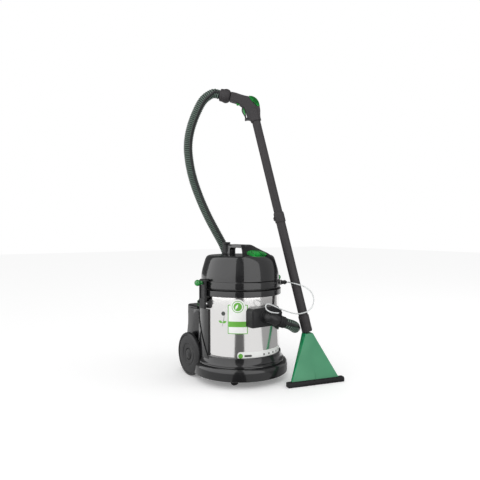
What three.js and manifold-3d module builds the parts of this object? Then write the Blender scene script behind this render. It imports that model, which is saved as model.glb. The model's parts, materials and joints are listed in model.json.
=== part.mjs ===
// Wet and dry carpet cleaner: wheeled steel drum, motor head, clean-water tank, suction hose and wand.
// Millimetres, +Z up, front towards -Y. The drum's axis is x = y = 0 and the floor is z = 0 while the
// pieces are laid out; the whole machine is then shifted so that its origin is the middle of its base.
import * as THREE from 'three';
import { mergeVertices } from 'three/addons/utils/BufferGeometryUtils.js';
import Module from 'manifold-3d';

const wasm = await Module();
wasm.setup();

// ---- driving dimensions ------------------------------------------------------------------------
const GAP = 0.3;                 // seat clearance between touching pieces
const RUNNING = 0.6;             // clearance of a pin or slider in its bore
const ROUND = 28;                // facets round the drum
const FINE = 12;                 // facets round a small part

const DRUM_RADIUS = 170;
const DRUM_WALL = 1.5;
const DRUM_BASE_Z = 100;         // seat plate that carries the drum
const DRUM_HEIGHT = 268;
const RIM_Z = DRUM_BASE_Z + GAP + DRUM_HEIGHT;
const SKIRT_RADIUS = DRUM_RADIUS + 34;
const SKIRT_TAPER = 7;           // how far the skirt leans in at its top
const SKIRT_BASE_Z = 29;
const SKIRT_HEIGHT = 47;
const SKIRT_WALL = 4;
const SEAT_PLATE = 6;
const CRADLE_WALL = 6;           // rear shell that backs the drum
const CRADLE_HEIGHT = DRUM_HEIGHT - 72;
const CRADLE_FRONT = -21;        // how far round the sides the cradle reaches
const DECK_Z = 79;               // shelf under the tank
const DECK_THICK = 12;
const DECK_HALF_WIDTH = 156;
const DECK_REAR = 256;
const CHEEK_WALL = 9;

const WHEEL_RADIUS = 92;
const WHEEL_WIDTH = 21;
const WHEEL_GAP = 11;            // from the deck's edge to the wheel's inner face
const WHEEL_FACE_X = DECK_HALF_WIDTH + WHEEL_GAP + WHEEL_WIDTH;
const WHEEL_Y = 127;
const AXLE_RADIUS = 7;
const CASTER_X = 101;
const CASTER_Y = -115;
const CASTER_RADIUS = 25;
const CASTER_WIDTH = 15;
const CASTER_TRAIL = 13;
const CASTER_STEM = 4.5;
const CASTER_TOP_Z = 64;
const CASTER_PIN = 3;

const COLLAR_RADIUS = DRUM_RADIUS + 7;
const COLLAR_DROP = 10;          // how far the collar hangs outside the drum
const COLLAR_RISE = 14;          // how far it stands over the rim
const SPIGOT_RADIUS = DRUM_RADIUS - 11.5;      // head's plug in the collar
const HEAD_BAND_RADIUS = DRUM_RADIUS + 4.5;
const HEAD_BAND_Z = RIM_Z + 18.7;
const HEAD_BAND_HEIGHT = 31;
const HEAD_RISE = 104;           // from the band to the head's flat top
const HEAD_TOP_Z = HEAD_BAND_Z + HEAD_BAND_HEIGHT + HEAD_RISE;
const HEAD_WALL = 3;
const HUMP_HALF_ANGLE = 30;      // degrees either side of the front
const HUMP_SKIN = 3;             // how far the control hump stands proud of the head
const HUMP_RISE = 45;            // from the head's flat top to the hump's
const HUMP_TOP_Z = HEAD_TOP_Z + HUMP_RISE;
const HUMP_REAR = -42;
const HANDLE_WIDTH = 31;
const HANDLE_THICK = 14;
const HANDLE_REAR = 82;
const POST_DEPTH = 24;

const TANK_HALF_WIDTH = DECK_HALF_WIDTH - 28;
const TANK_REAR = 250;
const TANK_TOP_Z = DRUM_BASE_Z + CRADLE_HEIGHT - 6;
const TANK_WALL = 3.5;
const TANK_MOUTH_RADIUS = 21;
const TANK_MOUTH_X = -TANK_HALF_WIDTH / 2;
const TANK_MOUTH_Y = 206;
const CAP_RADIUS = 27;

const INLET_DROP = 87.3;         // from the drum's rim to the inlet's middle
const INLET_Z = RIM_Z - INLET_DROP;
const INLET_X = -8;
const INLET_BORE = 18;
const INLET_FACE = DRUM_RADIUS + 21;
const INLET_WIDTH = 154;
const INLET_HEIGHT = 80;
const HOSE_DIAMETER = 42;
const TUBE_DIAMETER = 5;

const CLAMP_WIDTH = 44;
const CLAMP_PIVOT_Z = HEAD_BAND_Z - 57;
const CLAMP_TAIL = 23;           // grip below the clamp's pin
const CLAMP_BOTTOM_Z = CLAMP_PIVOT_Z - CLAMP_TAIL;
const CLAMP_RADIUS = HEAD_BAND_RADIUS + 6.5;   // inner face of the lever
const CLAMP_THICK = 12;
const CLAMP_PIN = 3;
const KNOB_RADIUS = 13;
const KNOB_X = CLAMP_RADIUS + 32;
const KNOB_Z = HEAD_BAND_Z + 26;

// ---- shape helpers -----------------------------------------------------------------------------
const rad = THREE.MathUtils.degToRad;
const flat = (pairs) => pairs.map(([a, b]) => new THREE.Vector2(a, b));
const shapeOf = (pairs) => new THREE.Shape(flat(pairs));
const space = (triples) => triples.map(([x, y, z]) => new THREE.Vector3(x, y, z));

/** Six times the signed volume of an indexed triangle mesh; negative when it is inside out. */
function signedVolume(positions, index) {
  const [a, b, c] = [new THREE.Vector3(), new THREE.Vector3(), new THREE.Vector3()];
  let sum = 0;
  for (let i = 0; i < index.length; i += 3) {
    a.fromArray(positions, 3 * index[i]);
    b.fromArray(positions, 3 * index[i + 1]);
    c.fromArray(positions, 3 * index[i + 2]);
    sum += a.dot(b.cross(c));
  }
  return sum;
}

/** Closed solid from a geometry: seams merged, slivers dropped, faces turned outwards. */
function solid(geometry) {
  const bare = geometry.index ? geometry.toNonIndexed() : geometry.clone();
  bare.deleteAttribute('normal');
  bare.deleteAttribute('uv');
  const merged = mergeVertices(bare, 1e-3);
  const positions = merged.attributes.position.array;
  const index = [];
  for (let i = 0; i < merged.index.count; i += 3) {
    const [a, b, c] = [0, 1, 2].map((k) => merged.index.getX(i + k));
    if (a !== b && b !== c && c !== a) index.push(a, b, c);
  }
  if (signedVolume(positions, index) < 0) index.reverse();
  return new wasm.Manifold(new wasm.Mesh({
    numProp: 3, vertProperties: new Float32Array(positions), triVerts: new Uint32Array(index),
  }));
}

const asSolid = (item) => (item.isBufferGeometry ? solid(item) : item);
const join = (first, ...rest) => rest.reduce((sum, item) => sum.add(asSolid(item)), asSolid(first));
const cut = (first, ...rest) => rest.reduce((sum, item) => sum.subtract(asSolid(item)), asSolid(first));
const common = (first, second) => asSolid(first).intersect(asSolid(second));

function geometryOf(body) {
  const mesh = body.getMesh();
  const geometry = new THREE.BufferGeometry();
  geometry.setAttribute('position', new THREE.BufferAttribute(new Float32Array(mesh.vertProperties), 3));
  geometry.setIndex(new THREE.BufferAttribute(new Uint32Array(mesh.triVerts), 1));
  geometry.computeVertexNormals();
  return geometry;
}

/** Profile of [radius, z] pairs turned round the Z axis; it closes on itself or on the axis. */
function turned(profile, facets = ROUND) {
  const onAxis = profile[0][0] === 0 && profile[profile.length - 1][0] === 0;
  const loop = onAxis ? profile : [...profile, profile[0]];
  return new THREE.LatheGeometry(flat(loop), facets).rotateX(Math.PI / 2);
}

/** Disc or rod along Z with softened ends. */
function rod(radius, z0, z1, facets = FINE, soft = 0) {
  if (soft === 0) return turned([[0, z0], [radius, z0], [radius, z1], [0, z1]], facets);
  return turned([[0, z0], [radius - soft, z0], [radius, z0 + soft],
    [radius, z1 - soft], [radius - soft, z1], [0, z1]], facets);
}

const alongX = (geometry) => geometry.rotateY(Math.PI / 2);
const alongY = (geometry) => geometry.rotateX(-Math.PI / 2);

/** Flat outline raised along Z from z0, with an optional bevel inside the outline. */
function raised(shape, z0, height, bevel = 0, curveSegments = 3) {
  const options = { depth: height - 2 * bevel, bevelEnabled: bevel > 0, bevelThickness: bevel,
    bevelSize: bevel, bevelOffset: -bevel, bevelSegments: 1, curveSegments };
  return new THREE.ExtrudeGeometry(shape, options).translate(0, 0, z0 + bevel);
}

/** Side profile of [y, z] pairs given its width along X, centred. */
function sideExtruded(shape, width, bevel = 0, curveSegments = 3) {
  return raised(shape, -width / 2, width, bevel, curveSegments).rotateX(Math.PI / 2).rotateZ(Math.PI / 2);
}

function roundedRect(width, height, radius, x = 0, y = 0) {
  const [w, h, r] = [width / 2, height / 2, radius];
  const shape = new THREE.Shape();
  shape.absarc(x + w - r, y - h + r, r, -Math.PI / 2, 0);
  shape.absarc(x + w - r, y + h - r, r, 0, Math.PI / 2);
  shape.absarc(x - w + r, y + h - r, r, Math.PI / 2, Math.PI);
  shape.absarc(x - w + r, y - h + r, r, Math.PI, 1.5 * Math.PI);
  return shape;
}

function block(x0, x1, y0, y1, z0, z1) {
  return new THREE.BoxGeometry(x1 - x0, y1 - y0, z1 - z0)
    .translate((x0 + x1) / 2, (y0 + y1) / 2, (z0 + z1) / 2);
}

/** Sector of a ring between two angles in degrees, standing on z0. */
function sector(inner, outer, from, to, z0, height, steps = 20) {
  const shape = new THREE.Shape();
  shape.absarc(0, 0, outer, rad(from), rad(to), false);
  shape.absarc(0, 0, inner, rad(to), rad(from), true);
  return raised(shape, z0, height, 0, steps);
}

/** Round pipe along a curve; a bore of zero makes it a rod. */
function pipe(points, outer, bore, steps, sides = FINE) {
  const ring = new THREE.Shape();
  for (let i = 0; i < sides; i += 1) {
    const turn = (2 * Math.PI * i) / sides;
    const spot = [outer * Math.cos(turn), outer * Math.sin(turn)];
    if (i === 0) ring.moveTo(...spot);
    else ring.lineTo(...spot);
  }
  if (bore > 0) {
    const hole = Array.from({ length: sides }, (_, i) => {
      const turn = (-2 * Math.PI * i) / sides;
      return new THREE.Vector2(bore * Math.cos(turn), bore * Math.sin(turn));
    });
    ring.holes.push(new THREE.Path(hole));
  }
  const path = new THREE.CatmullRomCurve3(space(points), false, 'centripetal');
  return new THREE.ExtrudeGeometry(ring, { steps, extrudePath: path, bevelEnabled: false });
}

// ---- finishes ----------------------------------------------------------------------------------
const finish = (color, roughness, metalness = 0, opacity = 1) => ({ color, roughness, metalness, opacity });
const FINISHES = {
  glossyBlack: finish(0x26262a, 0.22),
  satinBlack: finish(0x1d1d1f, 0.5),
  wandGrey: finish(0x46434a, 0.55),
  rubber: finish(0x161617, 0.85),
  steel: finish(0xc9c7c4, 0.25, 1),
  plainSteel: finish(0x8f9194, 0.35, 1),
  greenLens: finish(0x14a032, 0.15, 0, 0.8),
  nozzleGreen: finish(0x3f9a68, 0.2, 0, 0.85),
  hoseGreen: finish(0x4f6058, 0.5),
  clearTube: finish(0xd9dcdc, 0.1, 0, 0.4),
  copper: finish(0xb06a3a, 0.35, 1),
  white: finish(0xdedede, 0.5),
};

/** Adds one named piece to its carrier. */
function addPart(carrier, name, body, finishName) {
  const look = FINISHES[finishName];
  const material = new THREE.MeshStandardMaterial({ color: look.color, roughness: look.roughness,
    metalness: look.metalness, opacity: look.opacity, transparent: look.opacity < 1 });
  const part = new THREE.Mesh(geometryOf(asSolid(body)), material);
  part.name = name;
  carrier.add(part);
  return part;
}

const machine = new THREE.Group();

// ---- wheeled base ------------------------------------------------------------------------------
const skirtTop = SKIRT_BASE_Z + SKIRT_HEIGHT;
const skirtTopRadius = SKIRT_RADIUS - SKIRT_TAPER;
const seatRadius = DRUM_RADIUS + GAP;
const cradleRadius = seatRadius + CRADLE_WALL;
const wheelInnerX = WHEEL_FACE_X - WHEEL_WIDTH;
const pocketRadius = WHEEL_RADIUS + 5;
const deckFront = 96;
const drumTop = RIM_Z;

function baseRing() {
  return turned([
    [0, DRUM_BASE_Z - SEAT_PLATE], [seatRadius - 8, DRUM_BASE_Z - SEAT_PLATE],
    [skirtTopRadius - SKIRT_WALL - 6, skirtTop - SKIRT_WALL], [skirtTopRadius - SKIRT_WALL, skirtTop - 12],
    [SKIRT_RADIUS - SKIRT_WALL, SKIRT_BASE_Z], [SKIRT_RADIUS, SKIRT_BASE_Z],
    [SKIRT_RADIUS, skirtTop - 16], [skirtTopRadius + 3, skirtTop - 4], [skirtTopRadius - 1, skirtTop],
    [cradleRadius + 11, skirtTop + 2], [cradleRadius + 10, skirtTop + 8], [cradleRadius + 13, skirtTop + 9],
    [cradleRadius + 6, skirtTop + 16], [cradleRadius + 2, skirtTop + 26],
    [cradleRadius, skirtTop + 38], [cradleRadius - 2, skirtTop + 40], [seatRadius, skirtTop + 40],
    [seatRadius, DRUM_BASE_Z + 4], [seatRadius - 4, DRUM_BASE_Z], [0, DRUM_BASE_Z]], ROUND);
}

function rearDeck() {
  const rear = shapeOf([[-DECK_HALF_WIDTH, deckFront], [DECK_HALF_WIDTH, deckFront],
    [DECK_HALF_WIDTH, DECK_REAR - 26], [DECK_HALF_WIDTH - 8, DECK_REAR - 8], [DECK_HALF_WIDTH - 26, DECK_REAR],
    [26 - DECK_HALF_WIDTH, DECK_REAR], [8 - DECK_HALF_WIDTH, DECK_REAR - 8], [-DECK_HALF_WIDTH, DECK_REAR - 26]]);
  const hollow = block(-DECK_HALF_WIDTH + SKIRT_WALL, DECK_HALF_WIDTH - SKIRT_WALL,
    deckFront - 40, DECK_REAR - SKIRT_WALL, SKIRT_BASE_Z - 5, DECK_Z - SKIRT_WALL);
  return cut(raised(rear, SKIRT_BASE_Z + 8, DECK_Z - SKIRT_BASE_Z - 8), hollow, rod(seatRadius, 0, DRUM_BASE_Z));
}

/** Side wall between wheel and tank: carries the stub axle and leans forward to the cradle. */
function cheek(side) {
  const outline = shapeOf([[64, SKIRT_BASE_Z + 20], [DECK_REAR - 26, SKIRT_BASE_Z + 20], [DECK_REAR - 26, 100],
    [196, 150], [174, DRUM_BASE_Z + CRADLE_HEIGHT - 20], [164, DRUM_BASE_Z + CRADLE_HEIGHT - 8], [84, DRUM_BASE_Z + CRADLE_HEIGHT - 8]]);
  const x = side * (DECK_HALF_WIDTH - CHEEK_WALL / 2);
  const ribTop = DRUM_BASE_Z + CRADLE_HEIGHT - 20;
  const ribs = [0, 1, 2].map((i) => sideExtruded(shapeOf([
    [98 + 22 * i, 150], [104 + 22 * i, 150], [104 + 20 * i, ribTop - 6 * i], [98 + 20 * i, ribTop - 6 * i]]), 3)
    .translate(side * (DECK_HALF_WIDTH + 1), 0, 0));
  return join(sideExtruded(outline, CHEEK_WALL).translate(x, 0, 0), ...ribs);
}

/** Boss of the stub axle with the pedestal that carries it on the deck. */
function axleBoss(side) {
  const [near, far] = [DECK_HALF_WIDTH - 18, DECK_HALF_WIDTH + 4];
  const foot = AXLE_RADIUS + 12;
  return join(alongX(rod(AXLE_RADIUS + 7, side > 0 ? near : -far, side > 0 ? far : -near)).translate(0, WHEEL_Y,
    WHEEL_RADIUS), block(side > 0 ? near : 1 - DECK_HALF_WIDTH, side > 0 ? DECK_HALF_WIDTH - 1 : -near,
    WHEEL_Y - foot, WHEEL_Y + foot, DECK_Z - 2, WHEEL_RADIUS));
}

function axleBore(side, x0, x1) {
  const bore = alongX(rod(AXLE_RADIUS + GAP, x0, x1));
  return (side > 0 ? bore : bore.rotateZ(Math.PI)).translate(0, WHEEL_Y, WHEEL_RADIUS);
}

function casterBoss(side) {
  return rod(CASTER_STEM + 9, CASTER_TOP_Z, DRUM_BASE_Z - SEAT_PLATE + 2).translate(side * CASTER_X, CASTER_Y, 0);
}

function baseShell() {
  const cradleTop = DRUM_BASE_Z + CRADLE_HEIGHT;
  const cradle = cut(turned([[seatRadius, skirtTop + 30], [cradleRadius, skirtTop + 30], [cradleRadius, cradleTop],
    [seatRadius, cradleTop]]), block(-300, 300, -300, CRADLE_FRONT, 0, 400));
  const cradleRibs = [0, 8, 172, 180].map((angle) => sector(cradleRadius - 1, cradleRadius + 2.5,
    angle - 0.9, angle + 0.9, skirtTop + 36, CRADLE_HEIGHT - 30, 2));
  let body = join(baseRing(), rearDeck(), cheek(1), cheek(-1), cradle, ...cradleRibs,
    axleBoss(1), axleBoss(-1), casterBoss(1), casterBoss(-1));
  body = cut(body, turned([[0, DRUM_BASE_Z], [seatRadius - 4, DRUM_BASE_Z], [seatRadius, DRUM_BASE_Z + 4],
    [seatRadius, drumTop], [0, drumTop]], ROUND));
  for (const side of [-1, 1]) {
    const pocket = alongX(rod(pocketRadius, 0, 60, 24)).translate(side > 0 ? wheelInnerX - 2.5 : -wheelInnerX - 57.5,
      WHEEL_Y, WHEEL_RADIUS);
    const boss = axleBoss(side);
    body = join(cut(body, pocket), boss);
    body = cut(body, axleBore(side, DECK_HALF_WIDTH - 14, WHEEL_FACE_X));
    body = cut(body, rod(CASTER_STEM + RUNNING, CASTER_TOP_Z - 1, DRUM_BASE_Z - SEAT_PLATE - 4)
      .translate(side * CASTER_X, CASTER_Y, 0));
  }
  return body;
}
addPart(machine, 'base_shell', baseShell(), 'glossyBlack');

// ---- rear wheels -------------------------------------------------------------------------------
function rearWheel() {
  const face = WHEEL_WIDTH;
  const rim = WHEEL_RADIUS;
  const bore = AXLE_RADIUS + RUNNING;
  return turned([[bore, 0], [rim - 9, 0], [rim - 2, 4], [rim, 8], [rim, face - 5], [rim - 3, face - 1],
    [rim - 8, face], [rim - 11, face - 3], [rim - 17, face - 1],
    [rim - 44, face - 2], [rim - 47, face - 4], [rim - 50, face - 2],
    [26, face - 3], [24, face - 7], [bore, face - 7]], 24);
}

const hubCap = () => turned([[0, WHEEL_WIDTH - 6.7], [22, WHEEL_WIDTH - 6.7], [22, WHEEL_WIDTH - 4],
  [19, WHEEL_WIDTH - 1.5], [9, WHEEL_WIDTH - 0.6], [0, WHEEL_WIDTH - 0.6]], 20);

/** Stub axle from the cheek's boss to just under the hub cap, with a collar inside the wheel. */
const stubAxle = () => turned([[0, -24], [AXLE_RADIUS, -24], [AXLE_RADIUS, -0.5], [AXLE_RADIUS, WHEEL_WIDTH - 7.6],
  [AXLE_RADIUS - 1, WHEEL_WIDTH - 7.1], [0, WHEEL_WIDTH - 7.1]]);

for (const [side, label] of [[-1, 'left'], [1, 'right']]) {
  const station = new THREE.Group();
  station.position.set(side * wheelInnerX, WHEEL_Y, WHEEL_RADIUS);
  station.rotation.y = (side * Math.PI) / 2;
  machine.add(station);
  addPart(station, `rear_wheel_${label}`, rearWheel(), 'satinBlack');
  addPart(station, `hub_cap_${label}`, hubCap(), 'glossyBlack');
  addPart(station, `stub_axle_${label}`, stubAxle(), 'plainSteel');
}

// ---- front casters -----------------------------------------------------------------------------
const forkTop = CASTER_TOP_Z - GAP;
const forkGap = CASTER_WIDTH + 2 * RUNNING;
const forkWall = 3;

function casterFork() {
  const side = shapeOf([[-9, forkTop - 1], [9, forkTop - 1], [12, forkTop - 14],
    [CASTER_TRAIL + 8, CASTER_RADIUS + 2], [CASTER_TRAIL + 6, CASTER_RADIUS - 6],
    [CASTER_TRAIL, CASTER_RADIUS - 9], [CASTER_TRAIL - 6, CASTER_RADIUS - 6], [CASTER_TRAIL - 8, CASTER_RADIUS + 2]]);
  const walls = [-1, 1].map((s) => sideExtruded(side, forkWall).translate(s * (forkGap + forkWall) / 2, 0, 0));
  const bore = alongX(rod(CASTER_PIN + GAP, -20, 20)).translate(0, CASTER_TRAIL, CASTER_RADIUS);
  return cut(join(rod(16, forkTop - 4, forkTop), rod(CASTER_STEM, forkTop - 2, DRUM_BASE_Z - SEAT_PLATE - 5),
    ...walls), bore);
}

const casterWheel = () => alongX(turned([[CASTER_PIN + GAP, -CASTER_WIDTH / 2], [CASTER_RADIUS - 3, -CASTER_WIDTH / 2],
  [CASTER_RADIUS, -CASTER_WIDTH / 2 + 3], [CASTER_RADIUS, CASTER_WIDTH / 2 - 3],
  [CASTER_RADIUS - 3, CASTER_WIDTH / 2], [CASTER_PIN + GAP, CASTER_WIDTH / 2]], 20));

for (const [side, label] of [[-1, 'left'], [1, 'right']]) {
  const station = new THREE.Group();
  station.position.set(side * CASTER_X, CASTER_Y, 0);
  machine.add(station);
  addPart(station, `caster_fork_${label}`, casterFork(), 'satinBlack');
  addPart(station, `caster_wheel_${label}`, casterWheel().translate(0, CASTER_TRAIL, CASTER_RADIUS), 'rubber');
  const pinLength = forkGap + 2 * forkWall + 1;
  addPart(station, `caster_pin_${label}`, alongX(rod(CASTER_PIN, -pinLength / 2, pinLength / 2, 16))
    .translate(0, CASTER_TRAIL, CASTER_RADIUS), 'plainSteel');
}

// ---- drum, collar and inlet --------------------------------------------------------------------
const inletBore = () => alongY(rod(INLET_BORE + 3 + RUNNING + GAP, 0, 300, 16)).rotateZ(Math.PI).translate(INLET_X, 0, INLET_Z);

function drumBody() {
  const base = DRUM_BASE_Z + GAP;
  const inside = DRUM_RADIUS - DRUM_WALL;
  return cut(turned([[0, base], [DRUM_RADIUS - 5, base], [DRUM_RADIUS, base + 5], [DRUM_RADIUS, drumTop],
    [inside, drumTop], [inside, base + 6], [inside - 4, base + DRUM_WALL], [0, base + DRUM_WALL]], ROUND), inletBore());
}
addPart(machine, 'drum', drumBody(), 'steel');

const collarInner = SPIGOT_RADIUS + 3.5;
const collarTop = drumTop + COLLAR_RISE;
const ledgeTop = drumTop + GAP + 3;
addPart(machine, 'drum_collar', turned([[seatRadius, drumTop - COLLAR_DROP], [COLLAR_RADIUS, drumTop - COLLAR_DROP],
  [COLLAR_RADIUS, collarTop - 3], [COLLAR_RADIUS - 2, collarTop], [collarInner, collarTop], [collarInner, ledgeTop],
  [SPIGOT_RADIUS - 6, ledgeTop], [SPIGOT_RADIUS - 6, drumTop + GAP], [seatRadius, drumTop + GAP]], ROUND), 'glossyBlack');

function inletPlate() {
  const [w, h] = [INLET_WIDTH / 2, INLET_HEIGHT / 2];
  const outline = shapeOf([[-w, -h + 8], [-w + 8, -h], [w - 8, -h], [w, -h + 8], [w - 4, h - 16],
    [w - 20, h - 2], [w - 30, h], [-w + 12, h - 4], [-w + 2, h - 12]]);
  const face = raised(outline, 0, INLET_FACE - DRUM_RADIUS + 40, 8).rotateX(Math.PI / 2)
    .translate(0, 40 - DRUM_RADIUS, INLET_Z);
  const spigotBoss = alongY(rod(INLET_BORE + 9, 0, 12, 32, 2)).rotateZ(Math.PI)
    .translate(INLET_X, -INLET_FACE + 8, INLET_Z);
  return cut(join(face, spigotBoss), rod(seatRadius, 0, 500, ROUND), inletBore());
}
addPart(machine, 'inlet_plate', inletPlate(), 'satinBlack');

const ELBOW_PATH = [[INLET_X, -152, INLET_Z], [INLET_X, -178, INLET_Z], [INLET_X, -202, INLET_Z],
  [INLET_X + 5, -216, INLET_Z - 2], [INLET_X + 18, -224, INLET_Z - 7], [INLET_X + 34, -226, INLET_Z - 13],
  [INLET_X + 42, -227, INLET_Z - 16]];
addPart(machine, 'inlet_elbow', pipe(ELBOW_PATH, INLET_BORE + 3, INLET_BORE - 1, 8, 16), 'satinBlack');

// ---- side clamps -------------------------------------------------------------------------------
const pivotX = CLAMP_RADIUS + CLAMP_THICK / 2;
const pinClear = CLAMP_PIN + RUNNING;
const clampEar = 5;

/** Two ears on the drum's side that hold the clamp's hinge pin. */
function clampBracket() {
  const plate = common(block(DRUM_RADIUS - 12, DRUM_RADIUS + 9, -CLAMP_WIDTH / 2 - clampEar - 1,
    CLAMP_WIDTH / 2 + clampEar + 1, CLAMP_PIVOT_Z - 22, CLAMP_PIVOT_Z + 14),
  rod(CLAMP_RADIUS - 5, CLAMP_PIVOT_Z - 30, CLAMP_PIVOT_Z + 30, ROUND));
  const ears = [-1, 1].map((s) => alongY(rod(9, 0, clampEar)).translate(pivotX,
    s > 0 ? CLAMP_WIDTH / 2 + 1 : -CLAMP_WIDTH / 2 - clampEar - 1, CLAMP_PIVOT_Z));
  const webs = ears.map((_, i) => block(DRUM_RADIUS, pivotX, i === 0 ? -CLAMP_WIDTH / 2 - clampEar - 1
    : CLAMP_WIDTH / 2 + 1, i === 0 ? -CLAMP_WIDTH / 2 - 1 : CLAMP_WIDTH / 2 + 1 + clampEar,
  CLAMP_PIVOT_Z - 9, CLAMP_PIVOT_Z + 9));
  return cut(join(plate, ...ears, ...webs), rod(seatRadius, 0, 500, ROUND),
    alongY(rod(CLAMP_PIN + GAP / 3, -60, 60)).translate(pivotX, 0, CLAMP_PIVOT_Z));
}

/** Lever that hooks over the head's band; its tail below the pivot is the grip. */
function clampLever() {
  const inner = CLAMP_RADIUS;
  const outer = inner + CLAMP_THICK;
  const hookZ = HEAD_BAND_Z + HEAD_BAND_HEIGHT + 2;
  const profile = shapeOf([[inner + 3, CLAMP_BOTTOM_Z], [outer - 2, CLAMP_BOTTOM_Z], [outer, CLAMP_BOTTOM_Z + 4],
    [outer, hookZ + 1], [outer - 4, hookZ + 6], [inner - 7, hookZ + 6], [inner - 10, hookZ + 3],
    [inner - 10, hookZ], [inner, hookZ], [inner, CLAMP_PIVOT_Z + 12], [inner, CLAMP_BOTTOM_Z + 8]]);
  const lever = raised(profile, -CLAMP_WIDTH / 2, CLAMP_WIDTH, 1.5).rotateX(Math.PI / 2);
  const window = block(outer - 3, outer + 5, -CLAMP_WIDTH / 2 + 8, CLAMP_WIDTH / 2 - 8,
    CLAMP_PIVOT_Z + 18, hookZ - 12);
  return cut(lever, window, alongY(rod(pinClear, -60, 60)).translate(pivotX, 0, CLAMP_PIVOT_Z));
}

/** Ball knob on a stem that stands on the lever's outer face. */
function clampKnob() {
  const stemRoot = pivotX + CLAMP_THICK / 2 + GAP - KNOB_X;
  return join(new THREE.SphereGeometry(KNOB_RADIUS, 12, 8),
    alongX(rod(5.5, stemRoot, 0, 10)), alongX(rod(8, stemRoot, stemRoot + 3, 10)));
}

for (const [side, label] of [[-1, 'left'], [1, 'right']]) {
  const station = new THREE.Group();
  station.rotation.z = side > 0 ? 0 : Math.PI;
  machine.add(station);
  addPart(station, `clamp_bracket_${label}`, clampBracket(), 'satinBlack');
  addPart(station, `clamp_lever_${label}`, clampLever(), 'satinBlack');
  addPart(station, `clamp_knob_${label}`, clampKnob(), 'greenLens').position.set(KNOB_X, 0, KNOB_Z);
  addPart(station, `clamp_pin_${label}`, alongY(rod(CLAMP_PIN, -CLAMP_WIDTH / 2 - clampEar - 2,
    CLAMP_WIDTH / 2 + clampEar + 2, 16)).translate(pivotX, 0, CLAMP_PIVOT_Z), 'plainSteel');
}

// ---- motor head --------------------------------------------------------------------------------
const deckUnder = ledgeTop + GAP;
const deckFlange = HEAD_BAND_Z + 3;
const bandTop = HEAD_BAND_Z + HEAD_BAND_HEIGHT;
const intakeRadius = 22;

function motorDeck() {
  const plate = turned([[0, deckUnder], [SPIGOT_RADIUS, deckUnder], [SPIGOT_RADIUS, HEAD_BAND_Z],
    [HEAD_BAND_RADIUS - 1, HEAD_BAND_Z], [HEAD_BAND_RADIUS - 1, deckFlange], [SPIGOT_RADIUS - 3, deckFlange],
    [SPIGOT_RADIUS - 3, deckUnder + 4], [0, deckUnder + 4]], ROUND);
  return cut(plate, rod(intakeRadius, 300, 450, 32));
}
addPart(machine, 'motor_deck', motorDeck(), 'satinBlack');
addPart(machine, 'head_seal', turned([[SPIGOT_RADIUS + GAP, deckUnder], [collarInner - GAP, deckUnder],
  [collarInner - GAP, deckUnder + 7], [SPIGOT_RADIUS + 1.5, deckUnder + 8], [SPIGOT_RADIUS + GAP, deckUnder + 7]], ROUND),
'rubber');

// Steps of the head's side: how far inside its band, and how far under its flat top.
const HEAD_SIDE = [[6, 102.5], [6.5, 82], [9.5, 65], [13.5, 50], [19.5, 30], [25, 14], [30.5, 5]];
const shoulderRadius = HEAD_BAND_RADIUS - 46.5;

/** Outer line of the head from its band to its flat top, pushed out by a clearance. */
const headOutline = (grow) => [[HEAD_BAND_RADIUS + grow, deckFlange + GAP], [HEAD_BAND_RADIUS + grow, bandTop - 5],
  [HEAD_BAND_RADIUS - 2.5 + grow, bandTop], ...HEAD_SIDE.map(([step, fall]) => [HEAD_BAND_RADIUS - step + grow,
    HEAD_TOP_Z - fall]), [shoulderRadius + 9 + grow, HEAD_TOP_Z - 1 + grow],
  [shoulderRadius, HEAD_TOP_Z + grow], [0, HEAD_TOP_Z + 1 + grow]];

/** The room that the head's outside takes up, grown by a clearance. */
const headSpace = (grow) => turned([...headOutline(grow), [0, deckFlange]]);

function headHousing() {
  const outer = headOutline(0);
  const inner = outer.map(([r, z]) => [Math.max(r - HEAD_WALL, 0), z - (r < shoulderRadius + 22 ? HEAD_WALL : 0)]).reverse();
  return turned([...outer, ...inner], ROUND);
}
addPart(machine, 'head_housing', headHousing(), 'glossyBlack');

// Steps of the hump's side, as the head's, but under the hump's own top.
const HUMP_SIDE = [[14.5, 69], [21.5, 56], [32.5, 44], [46.5, 35], [66.5, 25.5], [94.5, 13]];

/** Outer line of the control hump, pushed out by a margin. */
const humpOutline = (grow) => [[0, bandTop + 3], [HEAD_BAND_RADIUS - 6.5 + HUMP_SKIN + grow, bandTop + 3],
  [HEAD_BAND_RADIUS - 6 + grow, HUMP_TOP_Z - 108], [HEAD_BAND_RADIUS - 9.5 + grow, HUMP_TOP_Z - 89],
  ...HUMP_SIDE.map(([step, fall], i) => [HEAD_BAND_RADIUS - step + (i < 4 ? grow : 0),
    HUMP_TOP_Z - fall + (i > 0 ? grow : 0)]),
  [50, HUMP_TOP_Z + grow], [0, HUMP_TOP_Z + 1 + grow]];

const PANEL = { y: 50.5 - HEAD_BAND_RADIUS, z: HUMP_TOP_Z - 33, tilt: rad(36), halfWidth: 50, halfLength: 29, depth: 9 };
const BUTTON = { width: 29, length: 38, proud: 2.2, travel: 2, corner: 7 };
const BUTTON_X = { left: -6, right: 28 };
const onPanel = (geometry) => geometry.rotateX(PANEL.tilt).translate(0, PANEL.y, PANEL.z);

function ellipse(halfX, halfY) {
  const shape = new THREE.Shape();
  shape.absellipse(0, 0, halfX, halfY, 0, 2 * Math.PI, false, 0);
  return shape;
}

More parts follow.
